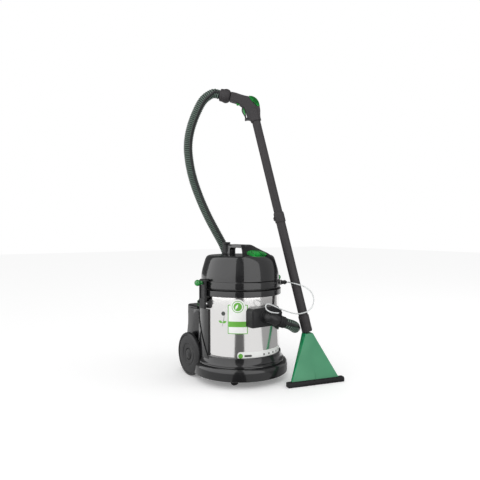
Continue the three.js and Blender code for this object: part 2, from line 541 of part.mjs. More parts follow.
function topCover() {
  const reach = 190;
  const wedge = shapeOf([[HUMP_REAR * Math.tan(rad(HUMP_HALF_ANGLE)), HUMP_REAR],
    [-reach * Math.tan(rad(HUMP_HALF_ANGLE)), -reach], [reach * Math.tan(rad(HUMP_HALF_ANGLE)), -reach],
    [-HUMP_REAR * Math.tan(rad(HUMP_HALF_ANGLE)), HUMP_REAR]]);
  const hump = common(turned(humpOutline(0)), raised(wedge, bandTop, 200));
  const top = HUMP_TOP_Z;
  const bar = shapeOf([[HUMP_REAR - 20, top - HANDLE_THICK], [HANDLE_REAR - POST_DEPTH - 8, top - HANDLE_THICK],
    [HANDLE_REAR - POST_DEPTH, top - HANDLE_THICK - 7], [HANDLE_REAR - POST_DEPTH, HEAD_TOP_Z - 4],
    [HANDLE_REAR, HEAD_TOP_Z - 4], [HANDLE_REAR, top - 14], [HANDLE_REAR - 5, top - 4], [HANDLE_REAR - 14, top],
    [HUMP_REAR - 20, top]]);
  const body = join(hump, sideExtruded(bar, HANDLE_WIDTH, 4));
  const pocket = onPanel(raised(ellipse(PANEL.halfWidth, PANEL.halfLength), -PANEL.depth - 3, 60, 0, 12));
  return cut(body, headSpace(GAP), pocket);
}
addPart(machine, 'top_cover', topCover(), 'glossyBlack');

/** Prism of a pushbutton, trimmed to the window it stands in and grown by a clearance. */
function buttonPrism(side, grow, floor) {
  const key = roundedRect(BUTTON.width + 2 * grow, BUTTON.length + 2 * grow, BUTTON.corner, BUTTON_X[side], -2);
  const window = ellipse(PANEL.halfWidth - 3 + grow, PANEL.halfLength - 3 + grow);
  return common(onPanel(raised(key, floor, 60)), onPanel(raised(window, floor - 5, 90, 0, 12)));
}

function buttonPanel() {
  const plate = onPanel(raised(ellipse(PANEL.halfWidth - GAP, PANEL.halfLength - GAP),
    -PANEL.depth - 3 + GAP, 60, 0, 12));
  const holes = ['left', 'right'].map((side) => buttonPrism(side, RUNNING, -40));
  return cut(common(plate, turned(humpOutline(-0.8))), headSpace(2 * GAP), ...holes);
}
addPart(machine, 'button_panel', buttonPanel(), 'greenLens');

for (const side of ['left', 'right']) {
  const stem = buttonPrism(side, 0, BUTTON.travel + 1 - PANEL.depth - 2);
  const key = common(stem, turned(humpOutline(BUTTON.proud)));
  addPart(machine, `button_${side}`, cut(key, headSpace(BUTTON.travel + 2 * GAP)), 'greenLens');
}

// ---- what the head holds inside ----------------------------------------------------------------
const deckTop = deckUnder + 4;
const MOTOR_RADIUS = 64;
const FAN_RADIUS = 70;

function fanHousing() {
  const base = deckTop + GAP;
  return cut(turned([[intakeRadius, base], [FAN_RADIUS, base], [FAN_RADIUS + 2, base + 3], [FAN_RADIUS + 2, base + 30],
    [FAN_RADIUS, base + 33], [14, base + 33], [14, base + 30], [FAN_RADIUS - 1, base + 30],
    [FAN_RADIUS - 1, base + 3], [intakeRadius, base + 3]], 24),
  block(FAN_RADIUS - 8, FAN_RADIUS + 9, -10, 10, base + 8, base + 25));
}
addPart(machine, 'fan_housing', fanHousing(), 'plainSteel');

/** Impeller: two discs with backward-swept blades between them. */
function fanImpeller() {
  const base = deckTop + GAP + 6;
  const rim = FAN_RADIUS - 5;
  const blades = Array.from({ length: 7 }, (_, i) => block(24, rim - 2, -1, 1, base + 1, base + 17)
    .rotateZ(rad(24)).translate(6, -10, 0).rotateZ((2 * Math.PI * i) / 7));
  const lower = cut(rod(rim, base, base + 2, 24), rod(intakeRadius, base - 1, base + 3));
  return join(lower, rod(rim, base + 16, base + 18, 24), rod(6, base + 14, base + 34), ...blades);
}
addPart(machine, 'fan_impeller', fanImpeller(), 'plainSteel');

function vacuumMotor() {
  const base = deckTop + GAP + 33 + GAP;
  const can = turned([[0, base], [MOTOR_RADIUS, base], [MOTOR_RADIUS, base + 6], [MOTOR_RADIUS - 9, base + 8],
    [MOTOR_RADIUS - 9, base + 52], [MOTOR_RADIUS - 16, base + 60], [24, base + 64], [24, base + 76], [0, base + 76]], 24);
  const slots = Array.from({ length: 6 }, (_, i) => block(MOTOR_RADIUS - 14, MOTOR_RADIUS, -7, 7,
    base + 18, base + 44).rotateZ((Math.PI * i) / 3));
  return cut(can, rod(6 + RUNNING, base - 1, base + 12), ...slots);
}
addPart(machine, 'vacuum_motor', vacuumMotor(), 'copper');

const PUMP = { x: -104, y: 40, width: 44, length: 66, height: 40 };
function solutionPump() {
  const base = deckTop + GAP;
  return join(raised(roundedRect(PUMP.width, PUMP.length, 6), base, PUMP.height, 2),
    alongY(rod(13, -42, 42, 20)).translate(0, 0, base + PUMP.height / 2),
    rod(6, base + PUMP.height - 2, base + PUMP.height + 12, 12)).translate([PUMP.x, PUMP.y, 0]);
}
addPart(machine, 'solution_pump', solutionPump(), 'white');

const CAGE_RADIUS = 38;
const CAGE_DROP = 68.3;          // from the drum's rim to the float cage's floor
const CAGE_FLOOR = RIM_Z - CAGE_DROP;
const FLOAT_RADIUS = 27;
function floatCage() {
  const top = deckUnder - GAP;
  const bars = Array.from({ length: 8 }, (_, i) => block(CAGE_RADIUS - 4, CAGE_RADIUS, -2.5, 2.5,
    CAGE_FLOOR + 1, top - 2).rotateZ((Math.PI * i) / 4));
  const ring = cut(rod(CAGE_RADIUS + 8, top - 4, top, 32), rod(FLOAT_RADIUS - 5, top - 9, top + 9));
  const floor = cut(rod(CAGE_RADIUS, CAGE_FLOOR, CAGE_FLOOR + 3, 32), rod(12, CAGE_FLOOR - 9, CAGE_FLOOR + 9));
  return join(ring, floor, ...bars);
}
addPart(machine, 'float_cage', floatCage(), 'satinBlack');
const floatRest = CAGE_FLOOR + 3 + GAP;
addPart(machine, 'float_cup', turned([[0, floatRest], [FLOAT_RADIUS - 3, floatRest], [FLOAT_RADIUS, floatRest + 3],
  [FLOAT_RADIUS, floatRest + 26], [FLOAT_RADIUS - 12, floatRest + 42], [0, floatRest + 45]], 24), 'white');

// ---- exhaust port and quick coupling -----------------------------------------------------------
const PORT = { y: 108, radius: 17, top: HEAD_TOP_Z + 53, foot: HEAD_TOP_Z + 0.65 };
addPart(machine, 'exhaust_port', turned([[12, PORT.foot], [PORT.radius + 4, PORT.foot],
  [PORT.radius + 4, PORT.foot + 4], [PORT.radius, PORT.foot + 7], [PORT.radius - 1, PORT.top - 10],
  [PORT.radius + 1, PORT.top - 8], [PORT.radius + 1, PORT.top - 1], [PORT.radius, PORT.top],
  [12, PORT.top]], 16).translate(0, PORT.y, 0), 'satinBlack');

const COUPLING = { angle: 41, z: HEAD_BAND_Z + 18, length: 28 };
function quickCoupling() {
  const start = HEAD_BAND_RADIUS + GAP + 0.4;
  return alongX(turned([[0, start], [11, start], [11, start + 5], [8, start + 6], [8, start + 16], [9.5, start + 17],
    [9.5, start + 21], [6, start + 24], [4.5, start + COUPLING.length], [0, start + COUPLING.length]], 16))
    .translate(0, 0, COUPLING.z).rotateZ(rad(-COUPLING.angle));
}
addPart(machine, 'quick_coupling', quickCoupling(), 'satinBlack');

const GLAND = { angle: 24, z: HEAD_BAND_Z + 17, radius: 9, length: 16 };
function cableGland() {
  const root = HEAD_BAND_RADIUS + GAP;
  return alongY(turned([[4, root], [GLAND.radius, root], [GLAND.radius, root + 5], [6, root + GLAND.length],
    [4, root + GLAND.length]], 16)).translate(0, 0, GLAND.z).rotateZ(rad(GLAND.angle));
}
addPart(machine, 'cable_gland', cableGland(), 'rubber');

// ---- clean-water tank --------------------------------------------------------------------------
function tankOutline(inset) {
  const shape = roundedRect(2 * (TANK_HALF_WIDTH - inset), TANK_REAR - 60 - 2 * inset, 22 - inset, 0,
    (TANK_REAR + 60) / 2);
  return shape;
}

function waterTank() {
  const floor = DECK_Z + GAP;
  const front = shapeOf([[124, floor - 5], [TANK_REAR + 40, floor - 5], [TANK_REAR + 40, TANK_TOP_Z + 5],
    [152, TANK_TOP_Z + 5], [150, TANK_TOP_Z - 8]]);
  const keepOut = (grow) => turned([[0, 0], [cradleRadius + 15 + grow, 0], [cradleRadius + 15 + grow, skirtTop + 14],
    [cradleRadius + 4 + grow, skirtTop + 30], [cradleRadius + 4 + grow, 400], [0, 400]]);
  const outer = common(raised(tankOutline(0), floor, TANK_TOP_Z - floor, 4, 4), sideExtruded(front, 400));
  const wall = TANK_WALL;
  const slimmer = sideExtruded(front, 400).translate(0, wall, 0);
  const inner = cut(common(raised(tankOutline(wall), floor + wall, TANK_TOP_Z - floor - 2 * wall, 0, 4), slimmer),
    keepOut(wall));
  const neck = rod(TANK_MOUTH_RADIUS + 3, TANK_TOP_Z - 2, TANK_TOP_Z + 8).translate(TANK_MOUTH_X, TANK_MOUTH_Y, 0);
  const mouth = rod(TANK_MOUTH_RADIUS, TANK_TOP_Z - 30, TANK_TOP_Z + 20).translate(TANK_MOUTH_X, TANK_MOUTH_Y, 0);
  const grip = sideExtruded(roundedRect(60, 14, 6, TANK_REAR, TANK_TOP_Z - 34), 96);
  return cut(join(cut(outer, keepOut(0)), neck), cut(inner,
    block(-52, 52, TANK_REAR - 36, TANK_REAR, TANK_TOP_Z - 45, TANK_TOP_Z - 22)), mouth, grip);
}
addPart(machine, 'rear_tank', waterTank(), 'glossyBlack');

function tankCap() {
  const under = TANK_TOP_Z + 1;
  const skirt = turned([[TANK_MOUTH_RADIUS + 3 + RUNNING, under], [CAP_RADIUS, under], [CAP_RADIUS, under + 12],
    [CAP_RADIUS - 2, under + 14], [0, under + 14], [0, under + 10], [TANK_MOUTH_RADIUS + 3 + RUNNING, under + 10]], 16);
  const bar = raised(roundedRect(2 * CAP_RADIUS - 8, 9, 4), under + 13, 8, 1);
  return join(skirt, bar).translate([TANK_MOUTH_X, TANK_MOUTH_Y, 0]);
}
addPart(machine, 'tank_cap', tankCap(), 'greenLens');

// ---- suction hose ------------------------------------------------------------------------------
// Wand frame: its axis leans from the nozzle's neck up to the handle.
const NECK = new THREE.Vector3(198, -213, 200);
const WAND_LENGTH = 962;
const WAND_TOP = new THREE.Vector3(75, -8, 1132);
const wandAxis = WAND_TOP.clone().sub(NECK).normalize();
const gripHeading = new THREE.Vector3(0.819, -0.574, 0);
const across = gripHeading.clone().addScaledVector(wandAxis, -gripHeading.dot(wandAxis)).normalize();
const sideways = wandAxis.clone().cross(across);
const wandTurn = new THREE.Matrix4().makeBasis(across, sideways, wandAxis);

/** Carrier whose Z runs up the wand and whose -X points along the grip. */
function wandStation(spot) {
  const station = new THREE.Group();
  station.position.copy(spot);
  station.setRotationFromMatrix(wandTurn);
  machine.add(station);
  return station;
}

const CUFF_LENGTH = 30;
const elbowEnd = new THREE.Vector3(...ELBOW_PATH[ELBOW_PATH.length - 1]);
const hoseStartHeading = new THREE.Vector3(8, -1, -3).normalize();

/** Profile turned round the line that leaves a spot along a heading. */
function turnedAlong(profile, spot, heading, facets) {
  const turn = new THREE.Quaternion().setFromUnitVectors(new THREE.Vector3(0, 0, 1), heading);
  return turned(profile, facets).applyQuaternion(turn).translate(spot.x, spot.y, spot.z);
}

const hoseRadius = HOSE_DIAMETER / 2;
const cuffBore = INLET_BORE + 3 + RUNNING;

/** Rubber cuff over the elbow's end, with the nipple that takes the clear solution tube. */
function hoseCuff() {
  const sleeve = turnedAlong([[cuffBore, -7], [hoseRadius + 2, -7], [hoseRadius + 3, -4], [hoseRadius + 3, 5],
    [hoseRadius + 1.5, 7], [hoseRadius + 1.5, CUFF_LENGTH - 8], [INLET_BORE - 1, CUFF_LENGTH - 8],
    [INLET_BORE - 1, 1], [cuffBore, 1]], elbowEnd, hoseStartHeading, 20);
  const neck = rod(4, 18, 33, 10).translate(elbowEnd.x + 8, elbowEnd.y, elbowEnd.z);
  const nipple = alongX(rod(4, -4, 12, 10)).translate(elbowEnd.x, elbowEnd.y, elbowEnd.z + 33);
  return cut(join(sleeve, neck, nipple),
    turnedAlong([[0, -30], [cuffBore, -30], [cuffBore, 1], [0, 1]], elbowEnd, hoseStartHeading, 20));
}
addPart(machine, 'hose_cuff', hoseCuff(), 'rubber');

// The hose leaves the cuff, turns back behind the wand, passes behind the drum and over the tank,
// and rises in one arc to the handle.
const HOSE_PATH = [[54.8, -229.6, 257.2], [77.1, -232.4, 248.9], [108, -220, 239], [142, -196, 226], [175, -160, 211],
  [218, -111, 196], [254, -62, 186], [290, -1, 180], [315, 62, 179], [313, 116, 187], [283, 151, 208],
  [243, 174, 247], [197, 194, 301], [150, 208, 366], [113, 215, 430], [84, 217, 490], [54, 215, 554],
  [18, 226, 622], [-18, 238, 692], [-57, 247, 777], [-93, 248, 866], [-118, 241, 950], [-130, 229, 1020],
  [-130, 207, 1087], [-118, 168, 1164], [-100, 137, 1213], [-69.4, 106.6, 1237.1], [-45.9, 89.4, 1231]];
addPart(machine, 'suction_hose', pipe(HOSE_PATH, hoseRadius, 0, 34, 8), 'hoseGreen');

// The clear tube loops from the quick coupling in front of the wand and back to the cuff's nipple.
const TUBE_PATH = [[153.6, -133.5, 405], [156.6, -136.1, 405], [157, -143, 405.5], [150, -154, 406], [146, -169, 406],
  [148, -185, 405], [160, -198, 401],
  [178, -209, 394], [197, -218, 382], [213, -226, 363], [218, -231, 336], [210, -232, 310], [190, -227, 291],
  [168, -219, 283], [146, -214, 281], [122, -213, 285], [93, -212, 294], [49, -212, 311], [12, -216, 327],
  [-15, -222, 337], [-34, -228, 337], [-41, -233, 329], [-36, -234, 318], [-22, -232, 310], [-6, -230, 304],
  [12, -229, 300.5], [24, -227.3, 298.2], [29.6, -227, 298]];
addPart(machine, 'solution_tube', pipe(TUBE_PATH, TUBE_DIAMETER / 2, 0, 36, 8), 'clearTube');

// ---- wand --------------------------------------------------------------------------------------
const WAND = { lower: 19.8, upper: 18.6, wall: 2, cuffTop: 70, joint: 478, sleeve: 44 };
const NECK_SEAT = 0.8;           // height of the cuff's foot above the wand's start
const wand = wandStation(NECK);

/** Tube round the wand's axis: closed loop between an outer and an inner radius. */
const sleeveOf = (outer, bore, z0, z1, facets = 20) => turned([[bore, z0], [outer, z0], [outer, z1], [bore, z1]], facets);

addPart(wand, 'wand_cuff', turned([[14, NECK_SEAT], [18, NECK_SEAT], [18.5, 12], [20, 34], [22.5, 44], [23.2, 48],
  [23.2, WAND.cuffTop], [WAND.lower + GAP, WAND.cuffTop], [WAND.lower + GAP, 40], [14, 34]], 20), 'satinBlack');
addPart(wand, 'wand_lower_tube', sleeveOf(WAND.lower, WAND.lower - WAND.wall, 40 + GAP, WAND.joint + 18), 'wandGrey');
addPart(wand, 'wand_joint_sleeve', turned([[WAND.lower + GAP, WAND.joint], [22, WAND.joint], [22.8, WAND.joint + 4],
  [22.8, WAND.joint + WAND.sleeve - 6], [21.4, WAND.joint + WAND.sleeve], [WAND.upper + GAP, WAND.joint + WAND.sleeve],
  [WAND.upper + GAP, WAND.joint + 19], [WAND.lower + GAP, WAND.joint + 19]], 20), 'wandGrey');
const socketFloor = 10;
addPart(wand, 'wand_upper_tube', sleeveOf(WAND.upper, WAND.upper - WAND.wall, WAND.joint + 19,
  WAND_LENGTH + socketFloor - GAP), 'wandGrey');

// ---- floor nozzle ------------------------------------------------------------------------------
const LIP = { x: 180, y: -283.5, turn: rad(-14.1), length: 258, depth: 24, height: 20, slot: 5 };
const LIP_BEVEL = 4;
const NOZZLE = { halfWidth: 108, halfDepth: 8, wall: 2.5, lean: 73 / 200, top: 196, neck: 18 };
const nozzle = new THREE.Group();
nozzle.position.set(LIP.x, LIP.y, 0);
nozzle.rotation.z = LIP.turn;
machine.add(nozzle);

/** Closed loft from a flat oblong mouth to the round neck, inset by a wall. */
function nozzleLoft(inset, z0, z1) {
  const [levels, around] = [4, 20];
  const positions = [];
  const index = [];
  for (let level = 0; level <= levels; level += 1) {
    const z = z0 + ((z1 - z0) * level) / levels;
    const t = (z - LIP.height) / (NOZZLE.top - LIP.height);
    const halfX = THREE.MathUtils.lerp(NOZZLE.halfWidth, NOZZLE.neck, t) - inset;
    const halfY = THREE.MathUtils.lerp(NOZZLE.halfDepth, NOZZLE.neck, Math.max(t, 0) ** 1.6) - inset;
    const squareness = THREE.MathUtils.lerp(0.35, 1, Math.min(Math.max(t, 0), 1));
    for (let i = 0; i < around; i += 1) {
      const turn = (2 * Math.PI * i) / around;
      const bulge = (value) => Math.sign(value) * Math.abs(value) ** squareness;
      positions.push(halfX * bulge(Math.cos(turn)), z * NOZZLE.lean + halfY * bulge(Math.sin(turn)), z);
      const next = (i + 1) % around;
      if (level < levels) {
        const [a, b, c, d] = [level * around + i, level * around + next,
          (level + 1) * around + i, (level + 1) * around + next];
        index.push(a, b, d, a, d, c);
      }
    }
  }
  for (let i = 1; i < around - 1; i += 1) {
    index.push(0, i + 1, i);
    index.push(levels * around, levels * around + i, levels * around + i + 1);
  }
  const geometry = new THREE.BufferGeometry();
  geometry.setAttribute('position', new THREE.Float32BufferAttribute(positions, 3));
  geometry.setIndex(index);
  return geometry;
}

function nozzleBody() {
  const base = LIP.height + GAP;
  const rib = block(-1.2, 1.2, -NOZZLE.halfDepth - 3, -NOZZLE.halfDepth + 3, base, base + 62)
    .applyMatrix4(new THREE.Matrix4().makeShear(0, 0, 0, 0, 0, NOZZLE.lean));
  return cut(join(nozzleLoft(0, base, NOZZLE.top), rib), nozzleLoft(NOZZLE.wall, base - 4, NOZZLE.top + 4));
}
addPart(nozzle, 'nozzle_body', nozzleBody(), 'nozzleGreen');

function nozzleLip() {
  const side = shapeOf([[-LIP.depth / 2 + 2, 0], [LIP.depth / 2, 0], [LIP.depth / 2 + 2, 5],
    [LIP.depth / 2 + 3, LIP.height - 4], [LIP.depth / 2, LIP.height], [-LIP.depth / 2 + 5, LIP.height],
    [-LIP.depth / 2, LIP.height - 5], [-LIP.depth / 2 - 1, 6]]);
  const teeth = Array.from({ length: 10 }, (_, i) => block(-3, 3, -LIP.depth / 2 - 2, -LIP.depth / 2 + 3, 3, 12)
    .translate((i - 4.5) * 21, 0, 0));
  const slot = block(-NOZZLE.halfWidth + 6, NOZZLE.halfWidth - 6, 1, 1 + LIP.slot, -5, LIP.height + 5)
    .applyMatrix4(new THREE.Matrix4().makeShear(0, 0, 0, 0, 0, NOZZLE.lean / 2));
  return cut(join(sideExtruded(side, LIP.length, LIP_BEVEL), ...teeth), slot);
}
addPart(nozzle, 'nozzle_lip', nozzleLip(), 'rubber');

// ---- pistol handle -----------------------------------------------------------------------------
// Profile in the wand's frame: X across (minus along the grip), Z up the wand, both from its top.
const handle = wandStation(WAND_TOP);
const GRIP = { halfWidth: 16, bevel: 0, socketRadius: 23.5, socketTop: 34, socketBottom: -24 };
const cuffHeading = new THREE.Vector3(0.907, 0, -0.421);
const cuffStart = new THREE.Vector3(-128, 0, 132);

/** Outline of [x, z] pairs given its thickness along Y, centred. */
const gripExtruded = (shape, halfWidth, bevel = 0) => raised(shape, -halfWidth, 2 * halfWidth, bevel, 2)
  .rotateX(Math.PI / 2);

function gripOutline() {
  const shape = new THREE.Shape();
  shape.moveTo(20, -20);
  shape.lineTo(24, 0);
  shape.splineThru(flat([[29, 22], [30, 42], [28, 60], [20, 77], [7, 88]]));
  shape.splineThru(flat([[-13, 95], [-39, 109], [-58, 121], [-77.4, 130.5]]));
  shape.lineTo(-94.2, 94.3);
  shape.splineThru(flat([[-80, 86], [-70.6, 80.5], [-58.6, 72], [-47, 58], [-41, 50]]));
  shape.splineThru(flat([[-36, 34], [-34, 16], [-34, 0]]));
  shape.lineTo(-47, -1.5);
  shape.lineTo(-47, -6.5);
  shape.splineThru(flat([[-30, -8], [-22, -14], [-18, -20]]));
  return shape;
}

const TRIGGER = { halfWidth: 8, pinX: -32, pinZ: 49, pin: 2, foot: 4.6, sweep: 2 };
const VALVE_TRAVEL = 1.5;        // how far the air valve's key presses in
const crossRod = (radius, halfLength, x, z) => alongY(rod(radius, -halfLength, halfLength, 12)).translate(x, 0, z);

function handleShell() {
  const socket = rod(GRIP.socketRadius, GRIP.socketBottom, GRIP.socketTop, 20, 1.5);
  const body = join(gripExtruded(gripOutline(), GRIP.halfWidth, GRIP.bevel), socket);
  const triggerRoom = block(-60, -20, -TRIGGER.halfWidth - RUNNING, TRIGGER.halfWidth + RUNNING,
    TRIGGER.foot - TRIGGER.sweep, 57);
  const valveRoom = block(-9.4, 60, -8.6, 8.6, 38, 84.6);
  const tabRoom = block(-67.6, -50.4, -5.6, 5.6, 55, 92);
  return cut(body, rod(WAND.upper + GAP, GRIP.socketBottom - 5, socketFloor, 20), triggerRoom,
    crossRod(TRIGGER.pin + GAP / 3, 14, TRIGGER.pinX, TRIGGER.pinZ), common(valveRoom, airValveZone(VALVE_TRAVEL + RUNNING)), tabRoom);
}

/** Band just inside the grip's shoulder, where the air valve's key sits. */
function airValveZone(grow) {
  const shape = new THREE.Shape();
  shape.moveTo(10 - grow, 100);
  shape.lineTo(40, 100);
  shape.lineTo(40, 36 - grow);
  shape.lineTo(18 - grow, 36 - grow);
  shape.splineThru(flat([[18 - grow, 56], [14 - grow, 70], [4 - grow, 84]]));
  return gripExtruded(shape, 8 + grow);
}
addPart(handle, 'handle_shell', handleShell(), 'wandGrey');

function airValve() {
  const shape = gripOutline();
  const raisedKey = gripExtruded(shape, 30).translate(1.6, 0, 1.2);
  return common(common(raisedKey, airValveZone(0)), block(-8.6, 60, -8, 8, 38.8, 84));
}
addPart(handle, 'air_valve_key', airValve(), 'greenLens');

function triggerLever() {
  const profile = new THREE.Shape();
  profile.moveTo(-29, 45);
  profile.splineThru(flat([[-29, 52], [-33, 54], [-41, 53], [-47, 50]]));
  profile.splineThru(flat([[-51, 42], [-50, 30], [-45, 14], [-44, TRIGGER.foot]]));
  profile.lineTo(-38, TRIGGER.foot);
  profile.splineThru(flat([[-37, 20], [-34, 38]]));
  return cut(gripExtruded(profile, TRIGGER.halfWidth),
    crossRod(TRIGGER.pin + GAP, 20, TRIGGER.pinX, TRIGGER.pinZ));
}
addPart(handle, 'trigger', triggerLever(), 'wandGrey');
addPart(handle, 'trigger_pin', crossRod(TRIGGER.pin, 13.5, TRIGGER.pinX, TRIGGER.pinZ), 'plainSteel');

const lockTab = raised(roundedRect(16, 10, 3, -59, 0), 66.5, 16);
addPart(handle, 'lock_tab', lockTab, 'greenLens');

addPart(handle, 'handle_cuff', turnedAlong([[0, 0], [hoseRadius + 4, 0], [hoseRadius + 6, 3], [hoseRadius + 7, 14],
  [hoseRadius + 9.5, 22], [hoseRadius + 9.5, 33], [hoseRadius + 6, 42], [hoseRadius + 1, 46], [0, 46]],
cuffStart, cuffHeading, 20), 'wandGrey');

// ---- origin ------------------------------------------------------------------------------------
// The outline on the floor ends at the left clamp's knob, the lip's right end and the deck's rear edge.
const [lipCos, lipSin] = [Math.cos(LIP.turn), Math.sin(LIP.turn)];
const reachX = LIP.x + (lipCos * LIP.length) / 2 - lipSin * (LIP.depth / 2 + 3 - LIP_BEVEL);
const reachY = LIP.y + lipSin * (LIP.length / 2 - LIP_BEVEL) - lipCos * (LIP.depth / 2 + 1);
machine.position.set(-(reachX - KNOB_X - KNOB_RADIUS) / 2, -(reachY + DECK_REAR) / 2, 0);

export default machine;
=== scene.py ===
"""Looks of a wheeled carpet cleaner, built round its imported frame.

Sizes are in millimetres in the machine's own layout, whose origin is the foot of the drum's axis,
with the front towards -Y. Form.piece() carries every mesh from there to the frame, in metres.
"""

import json
import logging
import math
from dataclasses import dataclass, field
from enum import Enum
from typing import Callable, Iterable, Sequence

import bmesh
import bpy
from mathutils import Matrix, Vector


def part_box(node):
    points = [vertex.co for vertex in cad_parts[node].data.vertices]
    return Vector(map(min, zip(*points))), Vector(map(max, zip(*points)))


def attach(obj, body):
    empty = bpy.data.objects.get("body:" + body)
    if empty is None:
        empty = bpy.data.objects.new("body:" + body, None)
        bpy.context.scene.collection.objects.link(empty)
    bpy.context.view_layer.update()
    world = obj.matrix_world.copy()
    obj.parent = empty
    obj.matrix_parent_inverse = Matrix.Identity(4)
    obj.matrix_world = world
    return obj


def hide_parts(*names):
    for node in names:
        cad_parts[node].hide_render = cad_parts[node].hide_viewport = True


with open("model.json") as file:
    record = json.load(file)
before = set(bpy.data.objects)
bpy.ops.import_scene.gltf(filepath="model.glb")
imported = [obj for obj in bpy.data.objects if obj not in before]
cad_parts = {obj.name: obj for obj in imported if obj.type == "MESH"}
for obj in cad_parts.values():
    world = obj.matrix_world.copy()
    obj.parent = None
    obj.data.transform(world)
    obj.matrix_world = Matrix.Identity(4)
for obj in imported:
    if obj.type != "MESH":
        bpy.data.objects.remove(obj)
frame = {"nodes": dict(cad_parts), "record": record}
LOG = logging.getLogger("carpet_cleaner")

Point = tuple[float, float, float]
Pair = tuple[float, float]
MM = 0.001
ROOT = "machine"

_drum_low, _drum_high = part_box("drum")
DRUM_AXIS = Vector(((_drum_low.x + _drum_high.x) / 2, (_drum_low.y + _drum_high.y) / 2, 0))
TO_FRAME = Matrix.Translation(DRUM_AXIS) @ Matrix.Scale(MM, 4)


class Axis(Enum):
    """Direction in the layout that a turned or raised form stands along."""

    X = Matrix.Rotation(math.pi / 2, 4, "Y")
    Y = Matrix.Rotation(-math.pi / 2, 4, "X")
    Z = Matrix.Identity(4)
    LEFT = Matrix.Rotation(-math.pi / 2, 4, "Y")
    FRONT = Matrix.Rotation(math.pi / 2, 4, "X")


def standing(spot: Point, heading: Point) -> Matrix:
    """Place whose Z leaves a spot along a heading.

    Args:
        spot: origin of the place.
        heading: direction of its Z, of any length.

    Returns:
        The place as a matrix.
    """
    turn = Vector((0, 0, 1)).rotation_difference(Vector(heading)).to_matrix().to_4x4()
    return Matrix.Translation(Vector(spot)) @ turn


def flowing(points: Sequence[Sequence[float]], per_span: int) -> list[Vector]:
    """Centripetal Catmull-Rom curve through points.

    Args:
        points: what the curve passes through, in two or three dimensions.
        per_span: samples between two neighbours.

    Returns:
        The samples, the last point included.
    """
    knots = [Vector(p).to_3d() for p in points]
    knots = [2 * knots[0] - knots[1], *knots, 2 * knots[-1] - knots[-2]]
    samples: list[Vector] = []
    for p0, p1, p2, p3 in zip(knots, knots[1:], knots[2:], knots[3:]):
        t1 = max((p1 - p0).length, 1e-6) ** 0.5
        t2 = t1 + max((p2 - p1).length, 1e-6) ** 0.5
        t3 = t2 + max((p3 - p2).length, 1e-6) ** 0.5
        for i in range(per_span):
            t = t1 + (t2 - t1) * i / per_span
            a1 = p0.lerp(p1, t / t1)
            a2 = p1.lerp(p2, (t - t1) / (t2 - t1))
            a3 = p2.lerp(p3, (t - t2) / (t3 - t2))
            b1, b2 = a1.lerp(a2, t / t2), a2.lerp(a3, (t - t1) / (t3 - t1))
            samples.append(b1.lerp(b2, (t - t1) / (t2 - t1)))
    return [*samples, knots[-2]]


# ---- finishes ----------------------------------------------------------------------------------
class Sockets:
    """Nodes of one tree, with short calls to add and link them."""

    def __init__(self, tree: bpy.types.NodeTree) -> None:
        """Starts from an empty tree."""
        self.tree = tree
        tree.nodes.clear()

    def add(self, kind: str, **settings: object) -> bpy.types.Node:
        """Adds a node.

        Args:
            kind: the node's type without its ShaderNode prefix, or its whole name.
            settings: properties of the node, and in_N for the value of input N.

        Returns:
            The node.
        """
        node = self.tree.nodes.new(kind if kind.startswith("Node") else "ShaderNode" + kind)
        for name, value in settings.items():
            if name.startswith("in_"):
                key = name[3:]
                node.inputs[int(key) if key.isdigit() else key.replace("_", " ")].default_value = value
            else:
                setattr(node, name, value)
        return node

    def link(self, source: bpy.types.NodeSocket, target: bpy.types.NodeSocket) -> None:
        """Feeds one socket from another."""
        self.tree.links.new(source, target)

    def math(self, operation: str, *values: object) -> bpy.types.NodeSocket:
        """Adds a math node fed by numbers or sockets and gives its result."""
        node = self.add("Math", operation=operation)
        for socket, value in zip(node.inputs, values):
            if isinstance(value, (int, float)):
                socket.default_value = value
            else:
                self.link(value, socket)
        return node.outputs[0]


def shared_group(name: str, inputs: dict[str, str], outputs: dict[str, str],
                 build: Callable[[Sockets, bpy.types.Node, bpy.types.Node], None]) -> bpy.types.NodeTree:
    """Builds a node group once and gives it again when it is asked for later.

    Args:
        name: the group's name.
        inputs: socket names and their kinds, such as Float or Color.
        outputs: the same for what the group puts out.
        build: fills the group, given its sockets, its input node and its output node.

    Returns:
        The group's tree.
    """
    if name in bpy.data.node_groups:
        return bpy.data.node_groups[name]
    tree = bpy.data.node_groups.new(name, "ShaderNodeTree")
    for way, sockets in (("INPUT", inputs), ("OUTPUT", outputs)):
        for label, kind in sockets.items():
            tree.interface.new_socket(label, in_out=way, socket_type="NodeSocket" + kind)
    net = Sockets(tree)
    build(net, net.add("NodeGroupInput"), net.add("NodeGroupOutput"))
    return tree


